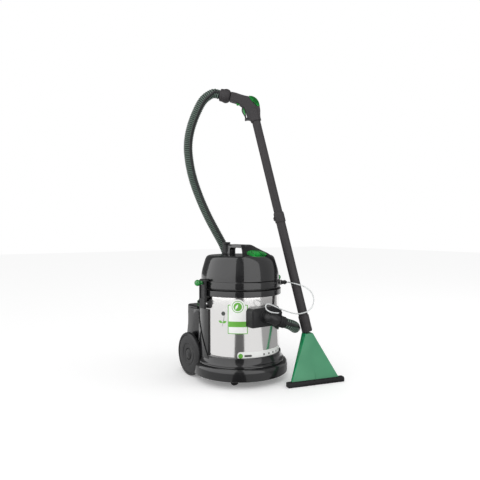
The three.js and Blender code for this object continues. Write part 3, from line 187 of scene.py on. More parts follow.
def moulded_grain(net: Sockets, given: bpy.types.Node, result: bpy.types.Node) -> None:
    """Fills the group for moulded plastic: fine grain, slow drift of shade and handling marks.

    Args:
        net: the group's sockets.
        given: Color, Grain (per metre), Depth, Roughness and Spread.
        result: Color, Roughness and Height.
    """
    place = net.add("TexCoord").outputs["Object"]
    fine = net.add("TexNoise", in_Detail=2.0)
    net.link(place, fine.inputs["Vector"])
    net.link(given.outputs["Grain"], fine.inputs["Scale"])
    slow = net.add("TexNoise", in_Scale=9.0, in_Detail=4.0, in_Roughness=0.6)
    net.link(place, slow.inputs["Vector"])
    drift = net.math("SUBTRACT", slow.outputs["Fac"], 0.5)
    net.link(net.math("MULTIPLY", fine.outputs["Fac"], given.outputs["Depth"]), result.inputs["Height"])
    net.link(net.math("ADD", given.outputs["Roughness"], net.math("MULTIPLY", drift,
                                                                  given.outputs["Spread"])),
             result.inputs["Roughness"])
    shade = net.add("HueSaturation")
    net.link(net.math("ADD", 1.0, net.math("MULTIPLY", drift, 0.35)), shade.inputs["Value"])
    net.link(given.outputs["Color"], shade.inputs["Color"])
    net.link(shade.outputs["Color"], result.inputs["Color"])


def rolled_sheet(net: Sockets, given: bpy.types.Node, result: bpy.types.Node) -> None:
    """Fills the group for rolled steel: lines round the sheet and faint waves of roughness.

    Args:
        net: the group's sockets.
        given: Lines (per metre), Depth, Roughness and Spread.
        result: Roughness and Height.
    """
    place = net.add("TexCoord").outputs["Object"]
    squeeze = net.add("Mapping")
    squeeze.inputs["Scale"].default_value = (1.0, 1.0, 60.0)
    net.link(place, squeeze.inputs["Vector"])
    lines = net.add("TexNoise", in_Detail=3.0)
    net.link(squeeze.outputs[0], lines.inputs["Vector"])
    net.link(given.outputs["Lines"], lines.inputs["Scale"])
    centred = net.math("SUBTRACT", lines.outputs["Fac"], 0.5)
    net.link(net.math("ADD", given.outputs["Roughness"], net.math("MULTIPLY", centred,
                                                                  given.outputs["Spread"])),
             result.inputs["Roughness"])
    net.link(net.math("MULTIPLY", lines.outputs["Fac"], given.outputs["Depth"]), result.inputs["Height"])


GRAIN_GROUP = {"inputs": {"Color": "Color", "Grain": "Float", "Depth": "Float", "Roughness": "Float",
                          "Spread": "Float"},
               "outputs": {"Color": "Color", "Roughness": "Float", "Height": "Float"}}
ROLLED_GROUP = {"inputs": {"Lines": "Float", "Depth": "Float", "Roughness": "Float", "Spread": "Float"},
                "outputs": {"Roughness": "Float", "Height": "Float"}}


@dataclass(frozen=True)
class Finish:
    """One finish of the machine: a name, a record slot and what its surface looks like."""

    name: str
    slot: str
    color: Point
    roughness: float
    coat: float = 0.0
    grain: float = 900.0
    depth: float = 0.1
    spread: float = 0.12
    mirror: float = 0.5

    def shader(self, net: Sockets) -> bpy.types.Node:
        """Adds the shader and the material's output, with what is the same all over set on it."""
        shader = net.add("BsdfPrincipled", in_Roughness=self.roughness, in_Coat_Weight=self.coat,
                         in_Coat_Roughness=0.06, in_Specular_IOR_Level=self.mirror)
        shader.inputs["Base Color"].default_value = (*self.color, 1.0)
        net.link(shader.outputs[0], net.add("OutputMaterial").inputs["Surface"])
        return shader

    def dress(self, net: Sockets, shader: bpy.types.Node) -> None:
        """Feeds the shader from the shared grain group."""
        group = net.add("Group", node_tree=shared_group("moulded_grain", GRAIN_GROUP["inputs"],
                                                        GRAIN_GROUP["outputs"], moulded_grain))
        for label, value in (("Color", (*self.color, 1.0)), ("Grain", self.grain), ("Depth", self.depth),
                             ("Roughness", self.roughness), ("Spread", self.spread)):
            group.inputs[label].default_value = value
        bump = net.add("Bump", in_Strength=0.35, in_Distance=0.0004)
        net.link(group.outputs["Height"], bump.inputs["Height"])
        net.link(bump.outputs[0], shader.inputs["Normal"])
        net.link(group.outputs["Roughness"], shader.inputs["Roughness"])
        net.link(group.outputs["Color"], shader.inputs["Base Color"])

    def material(self) -> bpy.types.Material:
        """Makes the material, or gives the one made before."""
        name = f"{self.name}_finish"
        if name in bpy.data.materials:
            return bpy.data.materials[name]
        made = bpy.data.materials.new(name)
        made.use_nodes = True
        net = Sockets(made.node_tree)
        self.dress(net, self.shader(net))
        return made


@dataclass(frozen=True)
class Steel(Finish):
    """Rolled or turned steel with fine lines round it."""

    lines: float = 12.0

    def dress(self, net: Sockets, shader: bpy.types.Node) -> None:
        """Feeds the shader from the shared rolled-sheet group."""
        shader.inputs["Metallic"].default_value = 1.0
        group = net.add("Group", node_tree=shared_group("rolled_sheet", ROLLED_GROUP["inputs"],
                                                        ROLLED_GROUP["outputs"], rolled_sheet))
        for label, value in (("Lines", self.lines), ("Depth", self.depth), ("Roughness", self.roughness),
                             ("Spread", self.spread)):
            group.inputs[label].default_value = value
        bump = net.add("Bump", in_Strength=0.05, in_Distance=0.0001)
        net.link(group.outputs["Height"], bump.inputs["Height"])
        net.link(bump.outputs[0], shader.inputs["Normal"])
        net.link(group.outputs["Roughness"], shader.inputs["Roughness"])


@dataclass(frozen=True)
class Lens(Finish):
    """Translucent plastic: deep colour that lightens in soft clouds inside the moulding."""

    glow: Point = (0.1, 0.75, 0.2)
    clearness: float = 0.15
    cloud: float = 30.0

    def dress(self, net: Sockets, shader: bpy.types.Node) -> None:
        """Feeds the shader from soft clouds between the deep and the light colour."""
        shader.inputs["Transmission Weight"].default_value = self.clearness
        noise = net.add("TexNoise", in_Scale=self.cloud, in_Detail=2.0)
        net.link(net.add("TexCoord").outputs["Object"], noise.inputs["Vector"])
        ramp = net.add("ValToRGB")
        ramp.color_ramp.elements[0].position, ramp.color_ramp.elements[1].position = 0.35, 0.7
        ramp.color_ramp.elements[0].color = (*self.color, 1.0)
        ramp.color_ramp.elements[1].color = (*self.glow, 1.0)
        net.link(noise.outputs["Fac"], ramp.inputs[0])
        net.link(ramp.outputs["Color"], shader.inputs["Base Color"])


GLOSS_BLACK = Finish("gloss_anthracite", "gloss_black", (0.006, 0.006, 0.007), 0.34, coat=0.75, depth=0.04,
                     spread=0.08, mirror=0.15)
SATIN_BLACK = Finish("satin_black", "satin_black", (0.009, 0.009, 0.010), 0.40, grain=1400, depth=0.3,
                     mirror=0.3)
MATTE_GREY = Finish("grained_grey", "wand_grey", (0.036, 0.033, 0.035), 0.5, grain=1600, depth=0.5,
                    mirror=0.15)
RUBBER = Finish("soft_rubber", "rubber", (0.009, 0.009, 0.010), 0.6, mirror=0.2, grain=2200, depth=0.6,
                spread=0.2)
HOSE_SKIN = Finish("ribbed_hose_skin", "hose_green", (0.010, 0.016, 0.013), 0.4, grain=700, depth=0.2,
                   spread=0.2, mirror=0.2)
# Lighter copy of the hose colour for the rib crests: a painted highlight along the tops of the ribs.
HOSE_CREST_HIGHLIGHT = Finish("hose_crest_painted_highlight", "hose_green", (0.135, 0.200, 0.160), 0.3, grain=700, depth=0.1, mirror=0.35)
LINE_SKIN = Finish("line_skin", "rubber", (0.011, 0.012, 0.012), 0.35, grain=1200, depth=0.1, mirror=0.3)
DRUM_STEEL = Steel("rolled_steel", "polished_steel", (0.88, 0.87, 0.86), 0.13, spread=0.06, depth=0.3)
PLAIN_STEEL = Steel("turned_steel", "plain_steel", (0.60, 0.60, 0.61), 0.33, lines=40, spread=0.15, depth=0.5)
COPPER = Finish("enamelled_copper", "copper", (0.45, 0.17, 0.07), 0.35, grain=500, depth=0.3)
NATURAL_WHITE = Finish("natural_white", "white_plastic", (0.72, 0.72, 0.69), 0.45, grain=900, depth=0.2)
GREEN_LENS = Lens("green_lens", "green_clear", (0.001, 0.115, 0.014), 0.14, coat=0.5, mirror=0.3,
                  glow=(0.006, 0.42, 0.05))
NOZZLE_GREEN = Lens("nozzle_green", "nozzle_green", (0.056, 0.240, 0.124), 0.35, mirror=0.2,
                    glow=(0.070, 0.275, 0.145), clearness=0.0, cloud=12.0)
# Darker copies of the nozzle green, one for the side faces and one for the bevels, which are a little darker
# than the front: painted shade on faces turned away from the light.
NOZZLE_SIDE_SHADE = Lens("nozzle_side_painted_shade", "nozzle_green", (0.003, 0.105, 0.035), 0.3, mirror=0.3,
                   glow=(0.005, 0.140, 0.050), clearness=0.0, cloud=12.0)
NOZZLE_EDGE_SHADE = Lens("nozzle_edge_painted_shade", "nozzle_green", (0.008, 0.235, 0.085), 0.25, mirror=0.4,
                   glow=(0.014, 0.290, 0.110), clearness=0.0, cloud=12.0)
CLEAR_TUBE = Lens("clear_tube", "clear_tube", (0.80, 0.82, 0.82), 0.08, glow=(0.92, 0.94, 0.94),
                  clearness=0.3)
LABEL_WHITE = Finish("label_white", "white_plastic", (0.80, 0.81, 0.79), 0.35, grain=600, depth=0.03,
                     spread=0.05)
LABEL_GREEN = Finish("label_green", "green_clear", (0.11, 0.40, 0.03), 0.35, grain=600, depth=0.03,
                     spread=0.05)
LABEL_DARK = Finish("label_dark", "satin_black", (0.03, 0.035, 0.03), 0.4, grain=600, depth=0.03, spread=0.05)


# ---- forms -------------------------------------------------------------------------------------
def meshed(name: str, bm: bmesh.types.BMesh) -> bpy.types.Mesh:
    """Turns a bmesh into a mesh and frees it."""
    mesh = bpy.data.meshes.new(name)
    bm.to_mesh(mesh)
    bm.free()
    return mesh


def placed(name: str, data: bpy.types.ID) -> bpy.types.Object:
    """Makes an object of some data and links it to the scene."""
    made = bpy.data.objects.new(name, data)
    bpy.context.scene.collection.objects.link(made)
    return made


class Form:
    """Mesh in the making, in layout millimetres."""

    def __init__(self) -> None:
        """Starts empty."""
        self.bm = bmesh.new()

    def _place(self, verts: Iterable[bmesh.types.BMVert], place: Matrix) -> None:
        """Moves new vertices from where they were drawn to their place."""
        bmesh.ops.transform(self.bm, matrix=place, verts=list(verts))

    def spun(self, profile: Sequence[Pair], steps: int = 96, place: Matrix = Axis.Z.value,
             closed: bool = True, wire_bevel: float = 0.0) -> "Form":
        """Turns a profile of [radius, height] pairs round an axis.

        Args:
            profile: the outline; it closes on itself or on the axis.
            steps: facets round the axis.
            place: where the axis stands.
            closed: joins the last pair to the first when neither is on the axis.
            wire_bevel: rounds the profile's corners by this much first.

        Returns:
            This form.
        """
        first = set(self.bm.verts)
        verts = [self.bm.verts.new((r, 0, z)) for r, z in profile]
        edges = [self.bm.edges.new(pair) for pair in zip(verts, verts[1:])]
        on_axis = profile[0][0] < 1e-6 and profile[-1][0] < 1e-6
        if closed and not on_axis:
            edges.append(self.bm.edges.new((verts[-1], verts[0])))
        if wire_bevel > 0:
            soft = [v for v in verts if v.co.x > 1e-6 and len(v.link_edges) == 2]
            bmesh.ops.bevel(self.bm, geom=soft + edges, offset=wire_bevel, segments=3, profile=0.5,
                            affect="VERTICES", material=-1, clamp_overlap=True)
            verts = [v for v in self.bm.verts if v not in first]
            edges = [e for e in self.bm.edges if e.verts[0] not in first]
        bmesh.ops.spin(self.bm, geom=verts + edges, cent=(0, 0, 0), axis=(0, 0, 1), angle=2 * math.pi,
                       steps=steps, use_merge=True)
        made = [v for v in self.bm.verts if v not in first]
        bmesh.ops.remove_doubles(self.bm, verts=made, dist=1e-4)
        self._place([v for v in self.bm.verts if v not in first], place)
        return self

    def raised(self, outline: Sequence[Pair], low: float, high: float, place: Matrix = Axis.Z.value,
               corner: float = 0.0, soft: float = 0.0, segments: int = 3) -> "Form":
        """Raises a flat outline of [x, y] pairs between two heights.

        Args:
            outline: the corners in order.
            low: height of its foot.
            high: height of its top.
            place: where it stands.
            corner: rounds the outline's corners by this much.
            soft: rounds the edges of both ends by this much.
            segments: steps in each rounding.

        Returns:
            This form.
        """
        first = set(self.bm.verts)
        face = self.bm.faces.new([self.bm.verts.new((x, y, low)) for x, y in outline])
        if corner > 0:
            bmesh.ops.bevel(self.bm, geom=list(face.verts) + list(face.edges), offset=corner,
                            segments=segments + 1, profile=0.5, affect="VERTICES", material=-1,
                            clamp_overlap=True)
        floor = [f for f in self.bm.faces if all(v not in first for v in f.verts)]
        grown = bmesh.ops.extrude_face_region(self.bm, geom=floor, use_keep_orig=True)["geom"]
        top = [v for v in grown if isinstance(v, bmesh.types.BMVert)]
        bmesh.ops.translate(self.bm, verts=top, vec=(0, 0, high - low))
        made = [v for v in self.bm.verts if v not in first]
        if soft > 0:
            rims = [e for e in self.bm.edges if e.verts[0] not in first
                    and abs(e.verts[0].co.z - e.verts[1].co.z) < 1e-6]
            bmesh.ops.bevel(self.bm, geom=rims, offset=soft, segments=segments, profile=0.5, affect="EDGES",
                            material=-1, clamp_overlap=True)
            made = [v for v in self.bm.verts if v not in first]
        self._place(made, place)
        return self

    def block(self, low: Point, high: Point, soft: float = 0.0, segments: int = 2) -> "Form":
        """Adds a block between two corners, with its edges rounded."""
        first = set(self.bm.verts)
        size = Vector(high) - Vector(low)
        matrix = Matrix.Translation((Vector(low) + Vector(high)) / 2) @ Matrix.Diagonal((*size, 1))
        bmesh.ops.create_cube(self.bm, size=1.0, matrix=matrix)
        if soft > 0:
            bmesh.ops.bevel(self.bm, geom=[e for e in self.bm.edges if e.verts[0] not in first], offset=soft,
                            segments=segments, profile=0.5, affect="EDGES", material=-1, clamp_overlap=True)
        return self

    def moved(self, place: Matrix) -> "Form":
        """Moves the whole form."""
        self._place(self.bm.verts, place)
        return self

    def reshaped(self, change: Callable[[Vector], Vector]) -> "Form":
        """Moves every vertex by a rule."""
        for vert in self.bm.verts:
            vert.co = change(vert.co)
        return self

    def sliced(self, spot: Point, normal: Point) -> "Form":
        """Cuts off what lies past a plane.

        Args:
            spot: a point on the plane.
            normal: the plane's direction; what lies on its side goes.

        Returns:
            This form, closed over the cut.
        """
        bmesh.ops.bisect_plane(self.bm, geom=self.bm.verts[:] + self.bm.edges[:] + self.bm.faces[:],
                               plane_co=spot, plane_no=normal, clear_outer=True)
        bmesh.ops.holes_fill(self.bm, edges=[e for e in self.bm.edges if e.is_boundary], sides=0)
        return self

    def joined(self, other: "Form") -> "Form":
        """Adds another form's faces to this one, and frees the other."""
        mesh = meshed("joined", other.bm)
        self.bm.from_mesh(mesh)
        bpy.data.meshes.remove(mesh)
        return self

    def piece(self, name: str, look: Finish, body: str = ROOT, stands_for: Sequence[str] = (),
              crease: float = 30.0, outward: bool = True) -> bpy.types.Object:
        """Makes the object, in the frame, with its finish, its body and what it stands for.

        Args:
            name: the piece's name.
            look: its finish.
            body: the CAD body it rides on.
            stands_for: the CAD nodes that it replaces.
            crease: edges sharper than this many degrees stay sharp.
            outward: turns every face outwards first.

        Returns:
            The object.
        """
        bmesh.ops.remove_doubles(self.bm, verts=self.bm.verts, dist=1e-4)
        if outward:
            bmesh.ops.recalc_face_normals(self.bm, faces=self.bm.faces)
        self.moved(TO_FRAME)
        mesh = meshed(name, self.bm)
        mesh.shade_smooth()
        mesh.set_sharp_from_angle(angle=math.radians(crease))
        made = placed(name, mesh)
        made.data.materials.append(look.material())
        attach(made, body)
        if stands_for:
            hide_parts(*stands_for)
        LOG.info("%s: %d faces", name, len(mesh.polygons))
        return made


def soften(made: bpy.types.Object, width: float, segments: int = 2, angle: float = 35.0) -> bpy.types.Object:
    """Rounds a finished piece's sharp edges with a Bevel modifier, width in millimetres."""
    bevel = made.modifiers.new("soft_edges", "BEVEL")
    bevel.width, bevel.segments, bevel.limit_method = width * MM, segments, "ANGLE"
    bevel.angle_limit = math.radians(angle)
    bevel.harden_normals = False
    return made


def melted(made: bpy.types.Object, voxel: float, rounds: int, factor: float = 0.5) -> bpy.types.Object:
    """Grows a piece's overlapping solids into one skin and rounds it.

    Args:
        made: the piece, of closed solids that may overlap.
        voxel: size of the new faces, in millimetres.
        rounds: passes of smoothing.
        factor: strength of each pass.

    Returns:
        The piece.
    """
    remesh = made.modifiers.new("one_skin", "REMESH")
    remesh.mode, remesh.voxel_size, remesh.use_smooth_shade = "VOXEL", voxel * MM, True
    smooth = made.modifiers.new("rounding", "SMOOTH")
    smooth.factor, smooth.iterations = factor, rounds
    graph = bpy.context.evaluated_depsgraph_get()
    skin = bpy.data.meshes.new_from_object(made.evaluated_get(graph))
    made.modifiers.clear()
    made.data = skin
    skin.shade_smooth()
    return made


# ---- stage and camera --------------------------------------------------------------------------
@dataclass
class Studio:
    """Pale floor, soft lights and the camera, in metres in the frame."""

    camera_spot: Point = (-1.254, -1.697, 0.63)
    camera_turn: float = -35.0
    focal: float = 36.45
    shift: Pair = (0.0, -10 / 480)
    floor_reach: float = 12.0
    pale: Point = (0.93, 0.93, 0.93)
    screen_reach: float = 2.7

    def camera(self) -> None:
        """Stands the camera level, looking past the drum."""
        lens = bpy.data.cameras.new("camera")
        lens.lens, lens.sensor_width = self.focal, 36.0
        lens.shift_x, lens.shift_y = self.shift
        eye = placed("camera", lens)
        eye.location = self.camera_spot
        eye.rotation_euler = (math.radians(90), 0, math.radians(self.camera_turn))
        bpy.context.scene.camera = eye

    def floor(self) -> None:
        """Lays the plain floor."""
        bm = bmesh.new()
        bmesh.ops.create_grid(bm, x_segments=1, y_segments=1, size=self.floor_reach)
        mesh = meshed("floor", bm)
        floor = placed("floor", mesh)
        paint = bpy.data.materials.new("floor")
        paint.use_nodes = True
        net = Sockets(paint.node_tree)
        shader = net.add("BsdfPrincipled", in_Roughness=0.9)
        shader.inputs["Base Color"].default_value = (*self.pale, 1.0)
        shader.inputs["Specular IOR Level"].default_value = 0.0
        shader.inputs["Emission Color"].default_value = (1.0, 1.0, 1.0, 1.0)
        shader.inputs["Emission Strength"].default_value = 0.2
        net.link(shader.outputs[0], net.add("OutputMaterial").inputs["Surface"])
        mesh.materials.append(paint)

    def screen(self, name: str, start: float, end: float, low_shade: float, high_shade: float) -> None:
        """Bends a glowing sheet round the drum, along the floor and up, which only reflections see.

        Args:
            name: the sheet's name.
            start: degrees from the camera's direction, + to its right, where the sheet starts.
            end: where it ends.
            low_shade: how light it is along the floor.
            high_shade: how light it is where it stands up.
        """
        view = Vector(self.camera_spot) - DRUM_AXIS
        turn = math.atan2(view.y, view.x) + math.radians(start)
        reach = self.screen_reach
        for part, line, shade in (("carpet", [(0.215, 0.003), (reach, 0.003)], low_shade),
                                  ("wall", [(reach, 0.003), (reach, 0.5), (reach - 0.3, 1.6), (0.4, 2.9)],
                                   high_shade)):
            bm = bmesh.new()
            spots = [bm.verts.new((r * math.cos(turn), r * math.sin(turn), z)) for r, z in line]
            edges = [bm.edges.new(pair) for pair in zip(spots, spots[1:])]
            bmesh.ops.spin(bm, geom=[*spots, *edges], axis=(0, 0, 1), cent=(0, 0, 0),
                           angle=math.radians(end - start), steps=24, use_duplicate=False)
            bmesh.ops.translate(bm, verts=bm.verts, vec=(DRUM_AXIS.x, DRUM_AXIS.y, 0))
            mesh = meshed(f"{name}_{part}", bm)
            sheet = placed(f"{name}_{part}", mesh)
            paint = bpy.data.materials.new(f"{name}_{part}")
            paint.use_nodes = True
            net = Sockets(paint.node_tree)
            glow = net.add("Emission", in_Color=(shade, shade, shade, 1.0), in_Strength=1.0)
            net.link(glow.outputs[0], net.add("OutputMaterial").inputs["Surface"])
            mesh.materials.append(paint)
            for ray in ("camera", "diffuse", "shadow", "transmission"):
                setattr(sheet, f"visible_{ray}", False)

    def lamp(self, name: str, spot: Point, aim: Point, size: Pair, watts: float) -> None:
        """Hangs a soft area light.

        Args:
            name: the light's name.
            spot: where it hangs.
            aim: what it points at.
            size: its width and height.
            watts: its power.
        """
        data = bpy.data.lights.new(name, "AREA")
        data.shape, data.size, data.size_y, data.energy = "RECTANGLE", size[0], size[1], watts
        light = placed(name, data)
        light.location = spot
        light.rotation_euler = (Vector(aim) - Vector(spot)).to_track_quat("-Z", "Y").to_euler()

    def world(self, soft: float, seen: float, mirrored: float) -> None:
        """Surrounds everything with soft light.

        Args:
            soft: how strongly it lights matt surfaces.
            seen: how light the camera sees it.
            mirrored: how light reflections see it.
        """
        surround = bpy.data.worlds.new("surround")
        surround.use_nodes = True
        net = Sockets(surround.node_tree)
        ray = net.add("LightPath")
        camera = net.math("MULTIPLY", ray.outputs["Is Camera Ray"], seen - soft)
        glossy = net.math("MULTIPLY", ray.outputs["Is Glossy Ray"], mirrored - soft)
        back = net.add("Background", in_Color=(1.0, 1.0, 1.0, 1.0))
        net.link(net.math("ADD", soft, net.math("ADD", camera, glossy)), back.inputs["Strength"])
        net.link(back.outputs[0], net.add("OutputWorld").inputs["Surface"])
        bpy.context.scene.world = surround

    def build(self) -> None:
        """Sets up the whole studio."""
        bpy.context.scene.view_settings.view_transform = "Standard"
        self.camera()
        self.floor()
        self.world(0.8, 1.0, 0.15)
        self.lamp("key", (-2.6, -2.6, 3.0), (0, 0, 0.5), (1.8, 1.8), 30)
        self.lamp("fill", (2.6, -2.2, 2.6), (0, 0, 0.5), (1.6, 1.6), 12)
        self.screen("left_screen", -112.0, -12.5, 0.84, 2.5)
        self.screen("dark_screen", -12.5, 10.0, 0.13, 0.08)
        self.screen("right_screen", 10.0, 58.0, 0.82, 2.5)
        self.screen("grey_screen", 58.0, 130.0, 0.36, 0.7)


# ---- cords -------------------------------------------------------------------------------------
@dataclass
class Route:
    """Smooth line through points, walked by length, in layout millimetres."""

    points: list[Point]
    spacing: float = 2.0
    line: list[Vector] = field(default_factory=list)
    length: float = 0.0

    def __post_init__(self) -> None:
        """Samples the curve evenly by length."""
        dense = flowing(self.points, 40)
        reach = [0.0]
        for a, b in zip(dense, dense[1:]):
            reach.append(reach[-1] + (b - a).length)
        self.length = reach[-1]
        count = max(2, round(self.length / self.spacing))
        at = 0
        for i in range(count + 1):
            want = self.length * i / count
            while at < len(reach) - 2 and reach[at + 1] < want:
                at += 1
            span = max(reach[at + 1] - reach[at], 1e-9)
            self.line.append(dense[at].lerp(dense[at + 1], min(1.0, (want - reach[at]) / span)))

    def places(self, keep: Vector) -> list[Matrix]:
        """Stations along the line: Z runs on, and X keeps as near as it can to one direction."""
        stations = []
        for i, spot in enumerate(self.line):
            ahead = (self.line[min(i + 1, len(self.line) - 1)] - self.line[max(i - 1, 0)]).normalized()
            side = (keep - keep.dot(ahead) * ahead).normalized()
            turn = Matrix((side, ahead.cross(side), ahead)).transposed().to_4x4()
            stations.append(Matrix.Translation(spot) @ turn)
        return stations


def swept(form: Form, stations: Sequence[Matrix], radius: Callable[[int], float], sides: int,
          offset: Callable[[int], Pair] = lambda _: (0.0, 0.0)) -> Form:
    """Draws a round skin through stations by extruding one ring from each to the next.

    Args:
        form: what the skin is added to.
        stations: where the rings stand.
        radius: gives a ring's radius from its number.
        sides: facets round the skin.
        offset: gives how far a ring's middle stands off its station.

    Returns:
        The form.
    """
    ring = bmesh.ops.create_circle(form.bm, cap_ends=True, segments=sides, radius=1.0)["verts"]
    cap = ring[0].link_faces[0]
    flat_ring = [v.co.copy() for v in ring]

    def stand(verts: Sequence[bmesh.types.BMVert], i: int) -> None:
        """Moves a ring to its station."""
        dx, dy = offset(i)
        for vert, spot in zip(verts, flat_ring):
            vert.co = stations[i] @ Vector((spot.x * radius(i) + dx, spot.y * radius(i) + dy, 0))

    edges = list(cap.edges)
    order = list(ring)
    stand(order, 0)
    for i in range(1, len(stations)):
        grown = bmesh.ops.extrude_edge_only(form.bm, edges=edges)["geom"]
        edges = [g for g in grown if isinstance(g, bmesh.types.BMEdge)]
        fresh = {g for g in grown if isinstance(g, bmesh.types.BMVert)}
        order = [next(e.other_vert(v) for e in v.link_edges if e.other_vert(v) in fresh) for v in order]
        stand(order, i)
    form.bm.faces.new(order)
    return form


SIDE = Matrix(((0, 0, 1, 0), (1, 0, 0, 0), (0, 1, 0, 0), (0, 0, 0, 1)))
HOSE_POINTS: list[Point] = [
    (54.8, -229.6, 257.2), (77.1, -232.4, 248.9), (108, -220, 239), (142, -196, 226), (175, -160, 211),
    (218, -111, 196), (254, -62, 186), (290, -1, 180), (315, 62, 179), (313, 116, 187), (283, 151, 208),
    (243, 174, 247), (197, 194, 301), (150, 208, 366), (113, 215, 430), (84, 217, 490), (54, 215, 554),
    (18, 226, 622), (-18, 238, 692), (-57, 247, 777), (-93, 248, 866), (-118, 241, 950), (-130, 229, 1020),
    (-130, 207, 1087), (-118, 168, 1164), (-100, 137, 1213), (-69.4, 106.6, 1237.1), (-45.9, 89.4, 1231)]
TUBE_POINTS: list[Point] = [
    (153.6, -133.5, 405), (156.6, -136.1, 405), (157, -143, 405.5), (150, -154, 406), (146, -169, 406),
    (148, -185, 405), (160, -198, 401), (178, -209, 394), (197, -218, 382), (213, -226, 363),
    (218, -231, 336), (210, -232, 310), (190, -227, 291), (168, -219, 283), (146, -214, 281),
    (122, -213, 285), (93, -212, 294), (49, -212, 311), (12, -216, 327), (-15, -222, 337), (-34, -228, 337),
    (-41, -233, 329), (-36, -234, 318), (-22, -232, 310), (-6, -230, 304), (12, -229, 300.5),
    (24, -227.3, 298.2), (29.6, -227, 298)]


def combined(made: bpy.types.Object, tool: Form, operation: str, crease: float = 30.0) -> bpy.types.Object:
    """Cuts a piece with a second form, or keeps what they share.

    Args:
        made: the piece.
        tool: the second form.
        operation: DIFFERENCE, INTERSECT or UNION.
        crease: edges sharper than this many degrees stay sharp.

    Returns:
        The piece.
    """
    bmesh.ops.recalc_face_normals(tool.bm, faces=tool.bm.faces)
    tool.moved(TO_FRAME)
    mesh = meshed("tool", tool.bm)
    other = placed("tool", mesh)
    step = made.modifiers.new("cut", "BOOLEAN")
    step.operation, step.object, step.solver = operation, other, "EXACT"
    graph = bpy.context.evaluated_depsgraph_get()
    result = bpy.data.meshes.new_from_object(made.evaluated_get(graph))
    made.modifiers.clear()
    made.data = result
    bpy.data.objects.remove(other)
    result.shade_smooth()
    result.set_sharp_from_angle(angle=math.radians(crease))
    return made


@dataclass
class Cords:
    """The suction hose with its pressure line, and the clear solution tube."""

    hose_radius: float = 21.0
    rib_pitch: float = 8.4
    rib_depth: float = 3.0
    rings_per_rib: int = 6
    hose_sides: int = 24
    line_radius: float = 8.0
    line_reach: float = 15.8
    line_side: Vector = field(default_factory=lambda: Vector((0.087, -0.996, 0.0)))
    tube_radius: float = 2.5

    def hose(self) -> None:
        """Makes the ribbed hose and the smooth pressure line that runs along it."""
        route = Route(HOSE_POINTS, self.rib_pitch / self.rings_per_rib)
        stations = route.places(self.line_side)
        phase = 2 * math.pi / self.rings_per_rib

        def ribbed(i: int) -> float:
            """Radius of the hose's ring: broad crests and narrow valleys."""
            wave = 0.5 + 0.5 * math.cos(i * phase)
            return self.hose_radius - self.rib_depth * (1 - wave) ** 1.6

        skin = swept(Form(), stations, ribbed, self.hose_sides).piece("ribbed_hose", HOSE_SKIN,
                                                         stands_for=["suction_hose"], crease=80)
        skin.data.materials.append(HOSE_CREST_HIGHLIGHT.material())
        # Faces next to each crest ring take the lighter crest finish, a painted highlight on the rib tops all
        # round the hose.
        for face in skin.data.polygons:
            rings = {corner // self.hose_sides for corner in face.vertices}
            if len(rings) == 2 and all(min(i % self.rings_per_rib, -i % self.rings_per_rib) <= 1
                                       for i in rings):
                face.material_index = 1
        smooth = Route(HOSE_POINTS, 8.0)
        inset = swept(Form(), smooth.places(self.line_side), lambda _: self.line_radius, 16,
                      lambda _: (self.line_reach, 0.0)).piece("pressure_line", LINE_SKIN, crease=80)

    def tube(self) -> None:
        """Makes the clear solution tube."""
        route = Route(TUBE_POINTS, 3.0)
        skin = swept(Form(), route.places(Vector((0.3, 0.2, 0.93))), lambda _: self.tube_radius, 14).piece(
            "clear_solution_tube", CLEAR_TUBE, stands_for=["solution_tube"], crease=80)

    def build(self) -> None:
        """Makes both."""
        self.hose()
        self.tube()


def slab(left: float, right: float, low: float, high: float) -> list[Pair]:
    """Corners of an upright label, in degrees round the drum and millimetres up it."""
    return [(left, low), (right, low), (right, high), (left, high)]


